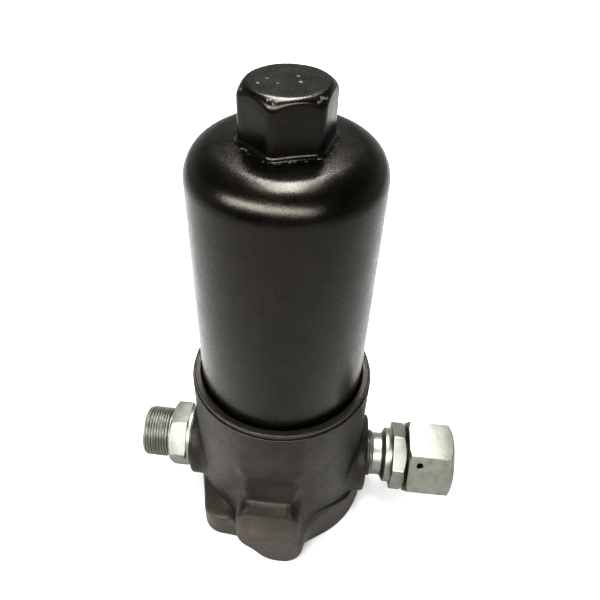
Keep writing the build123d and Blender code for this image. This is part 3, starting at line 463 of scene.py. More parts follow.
def skin(name, rows, closed=False, start_tip=None, end_tip=None, place=None, wear_and_highlight=None):
    """Joins rows of points into one mesh object, which may also carry each point's share of wear and painted
    highlight.
    """
    count = len(rows[0])
    points = np.concatenate(rows)
    faces = []
    for low in range(len(rows) if closed else len(rows) - 1):
        high = (low + 1) % len(rows)
        for k in range(count):
            nxt = (k + 1) % count
            faces.append((low * count + k, low * count + nxt, high * count + nxt, high * count + k))
    for tip, ring_index, flip in ((start_tip, 0, True), (end_tip, len(rows) - 1, False)):
        if tip is not None:
            points = np.vstack([points, [0, 0, tip]])
            for k in range(count):
                a = ring_index * count + k
                b = ring_index * count + (k + 1) % count
                faces.append((b, a, len(points) - 1) if flip else (a, b, len(points) - 1))
    mesh = bpy.data.meshes.new(name)
    at = points if place is None else place(points)
    mesh.from_pydata((at * MM).tolist(), [], faces)
    if wear_and_highlight is not None:
        worn_and_highlit = np.zeros(len(points), np.float32)
        worn_and_highlit[:count * len(rows)] = np.concatenate(wear_and_highlight)
        mesh.attributes.new("wear_and_highlight", "FLOAT", "POINT").data.foreach_set("value", worn_and_highlit)
    clean = bmesh.new()
    clean.from_mesh(mesh)
    bmesh.ops.remove_doubles(clean, verts=clean.verts, dist=MERGE_DISTANCE)
    bmesh.ops.recalc_face_normals(clean, faces=clean.faces)
    for face in clean.faces:
        face.smooth = True
    clean.to_mesh(mesh)
    clean.free()
    piece = bpy.data.objects.new(name, mesh)
    scene.collection.objects.link(piece)
    return piece


print("a round row has", len(row(10, 0, angles_from(0))), "points")

# %% Profiles with soft corners
def softened(corners, steps=4):
    """Profile points from (radius, height, edge radius) corners, each corner turned into a small arc."""
    out = []
    last = len(corners) - 1
    for i, corner in enumerate(corners):
        here = np.array(corner[:2], float)
        edge = corner[2] if len(corner) > 2 else 0.0
        if edge <= 0 or i in (0, last):
            out.append(tuple(here))
            continue
        before = np.array(corners[i - 1][:2], float) - here
        after = np.array(corners[i + 1][:2], float) - here
        before, after = before / np.linalg.norm(before), after / np.linalg.norm(after)
        half_angle = math.acos(np.clip(np.dot(before, after), -1, 1)) / 2
        reach = edge / math.tan(half_angle)
        middle = here + (before + after) / np.linalg.norm(before + after) * edge / math.sin(half_angle)
        first, second = here + before * reach - middle, here + after * reach - middle
        sweep = math.pi - 2 * half_angle
        for k in range(steps + 1):
            from_first = math.sin((1 - k / steps) * sweep) * first
            from_second = math.sin(k / steps * sweep) * second
            out.append(tuple(middle + (from_first + from_second) / math.sin(sweep)))
    return out


def hexagon(flats, corner_round, angles, turn_deg):
    """Distance from the centre to a hexagon's side at each angle; its corners are rounded."""
    apothem = flats / 2
    sector = math.pi / 3
    off_corner = np.abs((angles - math.radians(turn_deg) + sector / 2) % sector - sector / 2)
    off_flat = sector / 2 - off_corner
    centre = (apothem - corner_round) / math.cos(sector / 2)
    tangent = math.atan((apothem - corner_round) * math.tan(sector / 2) / apothem)
    inside = np.clip(corner_round ** 2 - (centre * np.sin(off_corner)) ** 2, 0, None)
    by_corner = centre * np.cos(off_corner) + np.sqrt(inside)
    return np.where(off_flat < tangent, apothem / np.cos(off_flat), by_corner)


over_corners = 2 * hexagon(42, 5.6, angles_from(0), 0).max()
print("a 42 mm hexagon measures", round(over_corners, 1), "mm over its corners")

# %% Turned pieces
class Lathe:
    """Collects rows for one turned piece, and for each row its share of wear and painted highlight."""

    def __init__(self, angles):
        self.angles = angles
        self.rows = []
        self.wear_and_highlight = []

    def add(self, radius, station, worn_and_highlit=0.0):
        self.rows.append(row(radius, station, self.angles))
        self.wear_and_highlight.append(np.broadcast_to(np.asarray(worn_and_highlit, float), self.angles.shape))

    def profile(self, corners, steps=4, first=0, last=None):
        """Rows along a profile; first and last leave out points at its ends."""
        for radius, station in softened(corners, steps)[first:last]:
            self.add(radius, station)

    def climb(self, pitch):
        """How far a thread has climbed at each angle."""
        return pitch * (self.angles - self.angles[0]) / (2 * math.pi)


def finish_piece(piece, material, node, body):
    """Finish, CAD node, slot and moving body of a new mesh."""
    piece.data.materials.append(material)
    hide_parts(node)
    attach(piece, body)
    print(piece.name, "has", len(piece.data.polygons), "faces")


# %% [markdown]
# ## The bowl
# The bowl is one steel pressing with a forged hexagon on its closed end. We trace its section from the
# closed end down the outside, round the sealing nose and up the inside. Where the hexagon grows out of the
# dome, each angle gets its own small fillet, so the root is soft all round. The crown is turned to a cone.
# The section's sizes come from the CAD bowl's box and from named values that match it.

# %% Bowl sizes
bowl_low, bowl_high = (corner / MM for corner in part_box("filter_bowl"))
BOWL_RADIUS = bowl_high.x
BOWL_BORE = 42.5
WALL_TOP = 259.9
SHOULDER = 17.9
DOME_SLOPE = math.radians(6.9)
ROOF = 267.17
INNER_SHOULDER = 12.0
NOSE = bowl_low.z
NOSE_RADIUS = 48.2
THREAD_LOW, THREAD_HIGH = 96.0, 115.6
THREAD_CREST, THREAD_ROOT = 49.12, 48.3
THREAD_PITCH = 3.0
SHOULDER_Z = 117.6
HEX_TURN = -102.4
HEX_FLATS = 42.0
HEX_CORNER = 5.6
HEX_TOP = bowl_high.z
ROOT_FILLET = 3.0
TOP_SCUFFS = (((-10.0, 0.5), (2.6, 1.5)), ((-13.0, -5.0), (1.6, 1.6)), ((-3.7, -4.0), (2.6, 1.3)),
              ((6.0, -1.7), (2.2, 1.8)), ((4.7, 4.6), (2.4, 1.2)))
print("bowl", round(2 * BOWL_RADIUS, 1), "mm wide,", round(HEX_TOP - NOSE, 1), "mm long")


# %% Hexagon of the bowl
ARC_STEPS = 8
EDGE_ROUND, EDGE_GROWTH = 2.7, 3.2
EDGE_WEAR, CORNER_WEAR = 0.34, 0.16
# The root's share is a painted highlight along the hexagon's root fillet; the top, edge and side shares are
# wear.
SCUFF_WEAR, SIDE_WEAR, ROOT_PAINTED_HIGHLIGHT = 0.68, 0.22, 0.44
SHOULDER_MIDDLE = BOWL_RADIUS - SHOULDER
CROWN_RADIUS = SHOULDER_MIDDLE + SHOULDER * math.sin(DOME_SLOPE)
CROWN_TOP = WALL_TOP + SHOULDER * math.cos(DOME_SLOPE) + CROWN_RADIUS * math.tan(DOME_SLOPE)


def hexagon_rows(lathe, side, corner_share):
    """From the scuffed top to the root's fillet with its painted highlight; gives the radius where the crown
    begins.
    """
    around = np.stack([np.cos(lathe.angles), np.sin(lathe.angles)], -1)
    for radius in range(2, 18, 2):
        ring = radius * around
        spots = sum(np.exp(-(((ring - middle) / size) ** 2).sum(-1)) for middle, size in TOP_SCUFFS)
        lathe.add(radius, HEX_TOP, SCUFF_WEAR * np.minimum(spots, 1))
    edge = EDGE_ROUND + EDGE_GROWTH * corner_share
    edge_wear = EDGE_WEAR + CORNER_WEAR * corner_share
    for k in range(ARC_STEPS + 1):
        turn = math.radians(90) * (1 - k / ARC_STEPS)
        height = HEX_TOP - edge + edge * math.sin(turn)
        lathe.add(side - edge + edge * math.cos(turn), height, edge_wear * math.sin(2 * turn))
    below_edge = HEX_TOP - edge
    fillet_r = side + ROOT_FILLET
    fillet_z = CROWN_TOP - fillet_r * math.tan(DOME_SLOPE) + ROOT_FILLET / math.cos(DOME_SLOPE)
    for share in (0.25, 0.5, 0.75):
        lathe.add(side, below_edge + (fillet_z - below_edge) * share, SIDE_WEAR * corner_share ** 2)
    # The root fillet's mask is a painted highlight, drawn in the bare-steel colour.
    for k in range(ARC_STEPS + 1):
        turn = math.radians(90) + (DOME_SLOPE - math.radians(90)) * k / ARC_STEPS
        height = fillet_z - ROOT_FILLET * math.cos(turn)
        lathe.add(fillet_r - ROOT_FILLET * math.sin(turn), height, ROOT_PAINTED_HIGHLIGHT * math.cos(turn))
    return fillet_r - ROOT_FILLET * math.sin(DOME_SLOPE)


print("tip of the crown's cone at", round(CROWN_TOP, 1), "mm")

# %% Dome and wall of the bowl
SHOULDER_STEPS = 24


def dome_rows(lathe, crown_start):
    """Coned crown, shoulder, straight wall and the step to the nose."""
    for share in (0.25, 0.6):
        radius = crown_start * (1 - share) + CROWN_RADIUS * share
        lathe.add(radius, CROWN_TOP - radius * math.tan(DOME_SLOPE))
    for k in range(SHOULDER_STEPS + 1):
        turn = DOME_SLOPE + (math.pi / 2 - DOME_SLOPE) * k / SHOULDER_STEPS
        lathe.add(SHOULDER_MIDDLE + SHOULDER * math.sin(turn), WALL_TOP + SHOULDER * math.cos(turn))
    for height in np.linspace(WALL_TOP, SHOULDER_Z + 2, 16)[1:]:
        lathe.add(BOWL_RADIUS, height)
    lathe.profile([
        (BOWL_RADIUS, SHOULDER_Z + 2), (BOWL_RADIUS, SHOULDER_Z, 0.8), (NOSE_RADIUS, SHOULDER_Z, 0.3),
        (NOSE_RADIUS, THREAD_HIGH)], first=1, last=-1)


print("shoulder from radius", round(CROWN_RADIUS, 1), "to", round(BOWL_RADIUS, 1), "mm")

# %% Thread, nose and inside of the bowl
THREAD_STEPS = 12
THREAD_FADE = 1.2
GROOVE_LOW, GROOVE_HIGH = NOSE + 4.0, NOSE + 10.2
GROOVE_RADIUS = NOSE_RADIUS - 2.85
BORE_START = NOSE + 20


def thread_rows(lathe):
    """The bowl's own thread, which shows once the bowl is screwed out."""
    turns = (THREAD_HIGH - THREAD_LOW) / THREAD_PITCH
    for k in range(int(turns * THREAD_STEPS) + THREAD_STEPS + 1):
        z = THREAD_HIGH + THREAD_PITCH - k * THREAD_PITCH / THREAD_STEPS - lathe.climb(THREAD_PITCH)
        z = np.clip(z, THREAD_LOW, THREAD_HIGH)
        phase = (k / THREAD_STEPS) % 1.0
        depth = min(1.0, max(0.0, (abs(phase - 0.5) - 0.08) / 0.34))
        fade = np.clip(np.minimum(z - THREAD_LOW, THREAD_HIGH - z) / THREAD_FADE, 0, 1)
        radius = THREAD_ROOT + (THREAD_CREST - THREAD_ROOT) * (1 - depth)
        lathe.add(NOSE_RADIUS + (radius - NOSE_RADIUS) * fade, z)


def nose_rows(lathe):
    """Seal groove, nose, bore and roof."""
    lathe.profile([
        (NOSE_RADIUS, THREAD_LOW), (NOSE_RADIUS, GROOVE_HIGH, 0.15), (GROOVE_RADIUS, GROOVE_HIGH, 0.3),
        (GROOVE_RADIUS, GROOVE_LOW, 0.3), (NOSE_RADIUS, GROOVE_LOW, 0.15),
        (NOSE_RADIUS, NOSE + 1.2, 0.4), (NOSE_RADIUS - 0.8, NOSE, 0.4), (BOWL_BORE, NOSE, 0.4),
        (BOWL_BORE, BORE_START)], first=1)
    bore_end = ROOF - INNER_SHOULDER
    for height in np.linspace(BORE_START, bore_end, 8)[1:]:
        lathe.add(BOWL_BORE, height)
    for k in range(1, ARC_STEPS + 1):
        turn = math.pi / 2 * k / ARC_STEPS
        radius = BOWL_BORE - INNER_SHOULDER + INNER_SHOULDER * math.cos(turn)
        lathe.add(radius, bore_end + INNER_SHOULDER * math.sin(turn))
    lathe.add(12, ROOF)


print("thread of", round((THREAD_HIGH - THREAD_LOW) / THREAD_PITCH, 1), "turns")

# %% Build the bowl
BOWL_STEPS = 288


def make_bowl():
    lathe = Lathe(angles_from(HEX_TURN + BACK, BOWL_STEPS))
    side = hexagon(HEX_FLATS, HEX_CORNER, lathe.angles, HEX_TURN)
    corner_share = (side - HEX_FLATS / 2) / (side.max() - HEX_FLATS / 2)
    crown_start = hexagon_rows(lathe, side, corner_share)
    dome_rows(lathe, crown_start)
    thread_rows(lathe)
    nose_rows(lathe)
    return skin("bowl", lathe.rows, start_tip=HEX_TOP, end_tip=ROOF, wear_and_highlight=lathe.wear_and_highlight)


bowl = make_bowl()
finish_piece(bowl, bowl_paint, "filter_bowl", "bowl")

# %% [markdown]
# ## Threads, hexagons and where the fittings sit
# Both fittings are turned about the port axis. We build them standing up, with their stations counted from
# the port's face, and then lay them down. A thread is the same trick as on the bowl: rows of points that
# climb one pitch per turn while their radius follows the thread's form. A profile is a list of corners, each
# with its radius, its station and, where the edge is rounded, the radius of the rounding.

# %% Helpers for the fittings
PORT_FACE = 62.0
PORT_HEIGHT = 34.0
TUBE_PITCH = 2.0
CHAMFER_DEG = 30
FITTING_FLATS = 41.0
NUT_FLATS = 48.0


def lie_left(points):
    """From a piece standing on the inlet port's face to its place at -X."""
    return np.stack([-PORT_FACE - points[:, 2], -points[:, 0], PORT_HEIGHT + points[:, 1]], -1)


def lie_right(points):
    """From a piece standing on the outlet port's face to its place at +X."""
    return np.stack([PORT_FACE + points[:, 2], -points[:, 0], PORT_HEIGHT - points[:, 1]], -1)


class FittingLathe(Lathe):
    """A turned piece with threads and spanner flats."""

    def thread(self, start, end, crest, root, pitch, ends, per_turn=10):
        """Thread from start to end; ends is the plain radius just outside it."""
        step = pitch / per_turn * (1 if end > start else -1)
        low, high = min(start, end), max(start, end)
        count = int((high - low + pitch) / abs(step)) + 1
        first = start - pitch if end > start else start
        for k in range(count + 1):
            station = first + k * step + self.climb(pitch)
            clipped = np.clip(station, low, high)
            phase = (k * step / pitch) % 1.0
            depth = min(1.0, max(0.0, (abs(phase - 0.5) - 0.06) / 0.36))
            fade = np.clip(np.minimum(clipped - low, high - clipped) / (0.6 * pitch), 0, 1)
            self.add(ends + (crest - (crest - root) * depth - ends) * fade, clipped)

    def nut_flats(self, low, high, flats, turn_deg, crown_low, crown_high, edge=0.35):
        """Hexagon between two stations. An end is turned to a cone outside its crown radius."""
        side = hexagon(flats, 0.5, self.angles, turn_deg)
        slope = math.tan(math.radians(CHAMFER_DEG))
        half_slope = math.radians(90 - CHAMFER_DEG)
        for station, crown, way in ((low, crown_low, 1), (high, crown_high, -1)):
            start = np.minimum(crown, side - 0.8 * edge)
            rows = [(start - 2.5 * edge, station), (start - 0.3 * edge, station),
                    (start + 0.3 * edge, station + way * 0.2 * edge * (side > crown))]
            drop = np.maximum(side - crown, 0.02) * slope
            inner = np.maximum(side - edge, start + 0.4 * edge)
            rows.append((inner, station + way * np.maximum(inner - crown, 0.01) * slope))
            for k in (1, 2, 3):
                bend = half_slope * (1 - k / 3)
                radius = side - edge * (1 - math.cos(bend))
                rows.append((radius, station + way * (drop + edge * (0.75 - math.sin(bend) * 0.75))))
            for radius, at in (rows if way == 1 else rows[::-1]):
                self.add(radius, at)

    def piece(self, name, place):
        return skin(name, self.rows, closed=True, place=place)


print("ports", PORT_FACE, "mm out and", PORT_HEIGHT, "mm up")

# %% [markdown]
# ## Inlet fitting
# A male stud with a wide collar, 41 mm flats and a threaded tube end. The thread is M36x2, the usual one for
# a 28 mm tube. The tube's cone and socket are inside its open end.

# %% Inlet fitting
def make_inlet():
    lathe = FittingLathe(angles_from(BACK))
    lathe.profile([
        (12.0, -17.5), (15.3, -17.5, 0.3), (16.45, -16.2, 0.3), (16.45, 0.0, 0.1), (15.45, 0.1, 0.1),
        (15.45, 1.2, 0.1), (21.8, 1.2, 0.5), (21.8, 4.1, 0.5), (20.0, 4.1)])
    lathe.nut_flats(4.1, 16.8, FITTING_FLATS, turn_deg=10.5, crown_low=23.6, crown_high=20.3)
    lathe.profile([(19.2, 16.8), (16.7, 16.8, 0.4), (16.7, 19.0)])
    lathe.thread(19.0, 36.0, crest=18.0, root=16.9, pitch=TUBE_PITCH, ends=16.8)
    lathe.profile([
        (16.8, 36.2), (16.7, 36.6, 0.2), (15.33, 36.6, 0.2), (14.05, 30.6, 0.2), (14.05, 23.0, 0.1),
        (12.0, 23.0, 0.2), (12.0, 18.0)])
    return lathe.piece("inlet_fitting", lie_left)


inlet = make_inlet()
finish_piece(inlet, bright_zinc, "inlet_stud_fitting", "head")

# %% [markdown]
# ## Outlet fitting
# This stud carries a swivel nut on its coned stem. A few of its thread's rings show at the port, then comes a
# bare neck that widens to a collar, and another pair of 41 mm flats.

# %% Outlet fitting
def make_outlet():
    lathe = FittingLathe(angles_from(BACK))
    lathe.profile([(12.0, -17.5), (15.3, -17.5, 0.3), (16.0, -16.8)])
    lathe.thread(-16.8, 4.2, crest=16.45, root=15.3, pitch=1.5, ends=15.4)
    lathe.profile([(15.3, 4.4), (14.8, 5.0, 0.3), (14.8, 11.0, 1.0), (19.0, 13.2, 0.6), (19.0, 17.6)])
    lathe.nut_flats(18.1, 27.7, FITTING_FLATS, turn_deg=-27.0, crown_low=23.6, crown_high=20.3)
    lathe.profile([
        (19.2, 27.7), (14.4, 27.7, 0.3), (14.4, 34.9, 0.1), (13.3, 35.4, 0.3), (13.3, 36.8, 0.3),
        (14.4, 37.3, 0.1), (14.4, 37.7, 0.1), (13.95, 39.9, 0.1), (12.3, 39.9, 0.1), (12.3, 42.2, 0.1),
        (13.45, 42.2, 0.1), (12.81, 45.2, 0.2), (10.0, 45.2, 0.3), (10.0, 18.0, 0.5), (12.0, 13.5, 0.5),
        (12.0, 0.0)])
    return lathe.piece("outlet_fitting", lie_right)


outlet = make_outlet()
finish_piece(outlet, bright_zinc, "outlet_stud_fitting", "head")

# %% [markdown]
# ## Cutting with a second shape
# Ports, drilled holes and crossing passages are easiest as a cut: we turn the drill's shape as its own
# closed mesh and take it away from the piece with a Boolean modifier. The modifier's result becomes the
# piece's mesh, and the drill is removed again.

# %% Cut helpers
SHARP_FROM_DEG = 38


def drill(name, corners, place, count=64):
    """A closed turned cutter from (radius, height) corners."""
    angles = angles_from(0, count)
    rows = [row(radius, height, angles) for radius, height in corners]
    return skin(name, rows, start_tip=corners[0][1], end_tip=corners[-1][1], place=place)


def cut(piece, cutters):
    for cutter in cutters:
        step = piece.modifiers.new(cutter.name, "BOOLEAN")
        step.operation = "DIFFERENCE"
        step.solver = "EXACT"
        step.object = cutter
    bpy.context.view_layer.update()
    evaluated = piece.evaluated_get(bpy.context.evaluated_depsgraph_get())
    result = bpy.data.meshes.new_from_object(evaluated)
    piece.modifiers.clear()
    old, piece.data = piece.data, result
    bpy.data.meshes.remove(old)
    for cutter in cutters:
        mesh = cutter.data
        bpy.data.objects.remove(cutter)
        bpy.data.meshes.remove(mesh)
    result.set_sharp_from_angle(angle=math.radians(SHARP_FROM_DEG))
    print(piece.name, "after the cuts:", len(result.polygons), "faces")


# %% [markdown]
# ## Swivel nut
# A union nut with 48 mm flats, a plain bore at its back and the tube thread at its mouth. The small drilled
# hole on one flat is where the retaining wire was pushed in. We place that hole with its own little frame:
# the drill's axis is square to the flat and a few millimetres beside the nut's middle.

# %% Swivel nut
NUT_STEPS = 216


def make_nut():
    lathe = FittingLathe(angles_from(BACK, NUT_STEPS))
    lathe.profile([(14.5, 30.0), (14.5, 29.3, 0.1), (15.1, 28.7, 0.1), (22.0, 28.7)])
    lathe.nut_flats(28.7, 59.6, NUT_FLATS, turn_deg=-56.5, crown_low=25.6, crown_high=22.5, edge=0.45)
    lathe.profile([(21.8, 59.6), (18.42, 59.6, 0.3), (17.0, 58.2)])
    lathe.thread(58.2, 45.7, crest=17.9, root=16.92, pitch=TUBE_PITCH, ends=17.0)
    lathe.profile([
        (17.0, 45.6), (18.1, 45.6, 0.2), (18.1, 43.3, 0.3), (14.5, 41.8, 0.3), (14.5, 37.4, 0.1),
        (15.6, 37.2, 0.2), (15.6, 35.0, 0.2), (14.5, 34.8, 0.1), (14.5, 31.0)])
    return lathe.piece("swivel_nut_skin", lie_right)


nut = make_nut()
print("nut before its hole:", len(nut.data.polygons), "faces")

# %% Hole for the retaining wire
HOLE_RADIUS = 2.0
HOLE_RIM = HOLE_RADIUS + 0.6
HOLE_STATION = 36.1
HOLE_OFFSET = 6.7
HOLE_TURN = math.radians(-26.5)


def beside_flat(points):
    """Turns a drill's own Z so that it points out of the nut's flat, then lies it down with the nut."""
    out = np.array([math.cos(HOLE_TURN), math.sin(HOLE_TURN), 0])
    side = np.array([math.sin(HOLE_TURN), -math.cos(HOLE_TURN), 0])
    up = np.array([0, 0, 1.0])
    base = side * HOLE_OFFSET + up * HOLE_STATION
    return lie_right(base + points[:, :1] * side + points[:, 1:2] * up + points[:, 2:] * out)


hole_corners = [(HOLE_RADIUS, 12.9), (HOLE_RADIUS, 23.6), (HOLE_RIM, 24.3), (HOLE_RIM, 27)]
cut(nut, [drill("wire_hole", hole_corners, beside_flat, count=32)])
finish_piece(nut, grey_zinc, "swivel_nut", "swivel_nut")

# %% [markdown]
# ## The head as a casting
# The head is sand cast, so its forms melt into each other with soft roots. We describe each form by its
# distance function: the wall, the two port bosses, the foot, the lobe and the unmachined front boss. A soft
# union of two distances leaves a fillet of the chosen reach. From far outside we then walk in towards the
# head's axis at many angles and heights until we meet the casting, and so get rows for a skin.

# %% Head sizes
HEAD_RADIUS = 57.0
PORT_BOSS_RADIUS = 27.0
FOOT_RADIUS = 60.2
FOOT_HEIGHT = 24.0
FOOT_SHIFT = 1.6
LOBE = (-33.99, -42.99)
LOBE_RADIUS = 14.5
BOSS_FACE = 72.5
BOSS_LEFT, BOSS_RIGHT, BOSS_LOW, BOSS_TOP = -20.5, 19.5, 11.0, 57.0
TOP_CORNERS, LOW_LEFT_CORNER, LOW_RIGHT_CORNER = 9.0, 18.0, 8.0
BOSS_LEAN = 0.07
BOSS_LEAN_FROM = 26.0
FOOT_TAPER = 3.2
SEAM_TURNS = (-180, -150, -138, -128, -112, -90, -64, -57, -44, -27, -8, 20, 180)
SEAM_HEIGHTS = (20, 20, 22, 24.3, 24, 24, 26.6, 29.5, 25.8, 18.5, 18.5, 24, 24)
SEAM_SPREAD = 3.0
SEAM_WAVE = 0.2
SEAM_GROOVE = 0.7
LOBE_SLOPE = 0.42
PAD_WIDTH, PAD_OUT, PAD_LOW, PAD_HIGH = 31.0, 4.4, 59.5, 73.0
BOSS_DRAFT = math.tan(math.radians(5))
TOE_X, TOE_Z, TOE_RADIUS = 6.0, 15.0, 15.0
FRONT_ROOT = 25.0
CAST_TOP = 84.0
print("head", 2 * HEAD_RADIUS, "mm wide, its boss", BOSS_FACE, "mm out")


def united(a, b, reach):
    """Soft union: the smaller of two distances, with a fillet of this reach where they cross."""
    share = np.clip(0.5 + 0.5 * (b - a) / reach, 0, 1)
    return b + (a - b) * share - reach * share * (1 - share)


def shared(a, b, reach):
    """Soft intersection: the larger of two distances, with a rounded edge."""
    return -united(-a, -b, reach)


# %% Forms of the casting
def front_boss(x, y, z):
    """Block with a round toe below. Its face leans back a little above the foot."""
    mid_x, mid_z = (BOSS_LEFT + BOSS_RIGHT) / 2, (BOSS_LOW + BOSS_TOP) / 2
    corner = np.where(z > mid_z, TOP_CORNERS, np.where(x < mid_x, LOW_LEFT_CORNER, LOW_RIGHT_CORNER))
    out_x = np.abs(x - mid_x) - (BOSS_RIGHT - BOSS_LEFT) / 2 + corner
    out_z = np.abs(z - mid_z) - (BOSS_TOP - BOSS_LOW) / 2 + corner
    outside = np.hypot(np.maximum(out_x, 0), np.maximum(out_z, 0))
    block = outside + np.minimum(np.maximum(out_x, out_z), 0) - corner
    outline = united(block, np.hypot(x - TOE_X, z - TOE_Z) - TOE_RADIUS, 6.0)
    depth = -y - BOSS_FACE + BOSS_LEAN * np.maximum(z - BOSS_LEAN_FROM, 0)
    return np.maximum(shared(outline - (y + BOSS_FACE) * BOSS_DRAFT, depth, 3.0), y + FRONT_ROOT)


def seam_height(around):
    """Height of the line where the foot ends on the round wall, without kinks."""
    turn = np.degrees(around)
    height = SEAM_WAVE * np.sin(5 * around + 1)
    for shift, share in ((-1.5, 0.15), (-0.75, 0.22), (0, 0.26), (0.75, 0.22), (1.5, 0.15)):
        height = height + share * np.interp(turn + shift * SEAM_SPREAD, SEAM_TURNS, SEAM_HEIGHTS)
    return height


def boss_pad(x, y, z):
    """Swelling of the wall that the front boss grows out of. It fades upwards without an edge."""
    rise = np.clip((PAD_HIGH - z) / (PAD_HIGH - PAD_LOW), 0, 1)
    face = HEAD_RADIUS - 3 + (PAD_OUT + 3) * rise ** 2 * (3 - 2 * rise)
    return np.maximum(shared(np.abs(x + 0.5) - PAD_WIDTH / 2, -y - face, 5.0), y + FRONT_ROOT)


def foot_outline(x, y, radius):
    """Distance to the hull of the foot's circle and the lobe's circle, seen from above."""
    along_x, along_y = LOBE[0] - FOOT_SHIFT, LOBE[1]
    length = math.hypot(along_x, along_y)
    along_x, along_y = along_x / length, along_y / length
    along = (x - FOOT_SHIFT) * along_x + y * along_y
    across = np.abs((x - FOOT_SHIFT) * along_y - y * along_x)
    lean = (radius - LOBE_RADIUS) / length
    flat = np.sqrt(1 - lean ** 2)
    turn = along * flat - across * lean
    flank = across * flat + along * lean - radius
    far = np.hypot(across, along - length) - LOBE_RADIUS
    near = np.hypot(across, along) - radius
    return np.where(turn < 0, near, np.where(turn > flat * length, far, flank))


def cast_foot(x, y, z, around):
    """Foot and lobe. Near the lobe the top edge is softer and slopes down."""
    leaning = FOOT_RADIUS - FOOT_TAPER * z / FOOT_HEIGHT
    by_lobe = np.clip(1 - (np.hypot(x - LOBE[0], y - LOBE[1]) - 8) / 12, 0, 1)
    top = seam_height(around) - LOBE_SLOPE * by_lobe * np.maximum(np.hypot(x, y) - HEAD_RADIUS, 0)
    return shared(foot_outline(x, y, leaning), z - top, 1.4 + 5.0 * by_lobe)


def casting(r, around, z):
    """Distance to the whole casting: below 0 inside it."""
    x, y = r * np.cos(around), r * np.sin(around)
    above_seam = (z - seam_height(around) - SEAM_GROOVE) / SEAM_GROOVE
    groove = SEAM_GROOVE * np.exp(-above_seam ** 2) * (y < -10)
    wall = r - HEAD_RADIUS + groove
    bosses = shared(np.hypot(y, z - PORT_HEIGHT) - PORT_BOSS_RADIUS, np.abs(x) - PORT_FACE, 2.2)
    body = united(united(wall, bosses, 4.0), cast_foot(x, y, z, around), 1.2)
    body = united(body, boss_pad(x, y, z), 9.0)
    to_top = np.clip((z - 40) / 12, 0, 1)
    to_right = np.clip(x / 14, 0, 1) * np.clip((34 - z) / 12, 0, 1)
    whole = united(body, front_boss(x, y, z), 12.0 - 8.0 * to_top + 4.0 * to_right)
    whole = np.maximum(whole, np.maximum(-y - BOSS_FACE, np.abs(x) - PORT_FACE))
    return shared(whole, -z, 1.8)


# %% Walk in to the casting
WALK_FROM, WALK_TO, WALK_STEP = 82.0, 40.0, 0.4
HALVINGS = 12


def fine_angles():
    """Angles with closer steps at the front boss, the lobe and the port bosses."""
    degrees = np.arange(-180, 180, 0.05)
    step = np.full(degrees.shape, 1.3)
    step[(degrees > -158) & (degrees < -108)] = 0.7
    step[(degrees > -118) & (degrees < -58)] = 0.45
    for centre in (-180, 0, 180):
        step[np.abs(np.abs(degrees - centre) - 25) < 6] = 0.7
    grown = np.concatenate([[0], np.cumsum(0.05 / step)])
    count = int(grown[-1])
    places = np.linspace(0, grown[-1], count, endpoint=False)
    return np.radians(np.interp(places, grown, np.append(degrees, 180)))


def cast_radius(angles, heights):
    """Radius at which each line towards the axis meets the casting: by steps, then by halving."""
    around, z = np.meshgrid(angles, heights)
    found = np.full(around.shape, WALK_TO)
    open_yet = np.ones(around.shape, bool)
    for r in np.arange(WALK_FROM, WALK_TO, -WALK_STEP):
        hit = open_yet & (casting(np.full(around.shape, r), around, z) < 0)
        found[hit] = r
        open_yet &= ~hit
    low, high = found, found + WALK_STEP
    for _ in range(HALVINGS):
        middle = (low + high) / 2
        inside = casting(middle, around, z) < 0
        low, high = np.where(inside, middle, low), np.where(inside, high, middle)
    return low


head_angles = fine_angles()
cast_heights = np.concatenate([
    [0.02, 0.1, 0.3, 0.6, 1.0, 1.5], np.arange(2.2, 16, 1.2), np.arange(16, 31, 0.6),
    np.arange(31, 52, 1.4), np.arange(52, 72, 1.1), np.arange(72, CAST_TOP, 3)])
cast_rows = cast_radius(head_angles, cast_heights)
print("casting:", cast_rows.shape, "radii", round(cast_rows.min(), 1), "to", round(cast_rows.max(), 1), "mm")

# %% [markdown]
# ## Head: turned rim, socket and passages
# After casting, the head was bored on a lathe. The same rows of points go on over the rim, down through the
# bowl's thread to the chamber, over the spigot that the element stands on and down its bore. The ports, the
# inlet's riser, the bypass bore and the four screw holes in the base are drilled afterwards.

# %% Head
SOCKET_THREAD = 49.19
SPIGOT_BOTTOM = 24.0


def make_head():
    lathe = FittingLathe(head_angles)
    for radius, z in zip(cast_rows, cast_heights):
        lathe.add(radius, 0 if z < 0.05 else z)
    lathe.profile([
        (HEAD_RADIUS, 84.5), (HEAD_RADIUS, 117.2, 0.5), (56.5, 117.5, 0.1), (55.2, 117.5, 0.25),
        (55.2, 118.8, 0.25), (56.1, 118.8, 0.3), (56.1, 121, 1.0), (51.9, 121, 0.8), (50.8, 119.9, 0.5),
        (50.8, 117.0, 0.2), (49.25, 117.0, 0.2), (SOCKET_THREAD, 116.9)])
    lathe.thread(
        116.9, 95.6, crest=49.95, root=SOCKET_THREAD, pitch=THREAD_PITCH, ends=SOCKET_THREAD, per_turn=6)
    lathe.profile([
        (SOCKET_THREAD, 95.5), (48.25, 94.6, 0.2), (48.25, 80.0, 0.3), (42.5, 80.0, 0.3),
        (42.5, 54.0, 1.5), (18.0, 54.0, 0.6), (18.0, 62.0, 0.3), (15.0, 62.0, 0.3), (15.0, 74.5, 0.3),
        (14.0, 76.0, 0.3), (10.0, 76.0, 0.3), (10.0, SPIGOT_BOTTOM)], steps=2)
    return skin("head", lathe.rows, start_tip=0, end_tip=SPIGOT_BOTTOM)


head = make_head()
print("head before the cuts:", len(head.data.polygons), "faces")

# %% Ports, passages and base holes
BASE_HOLE_AT = 30


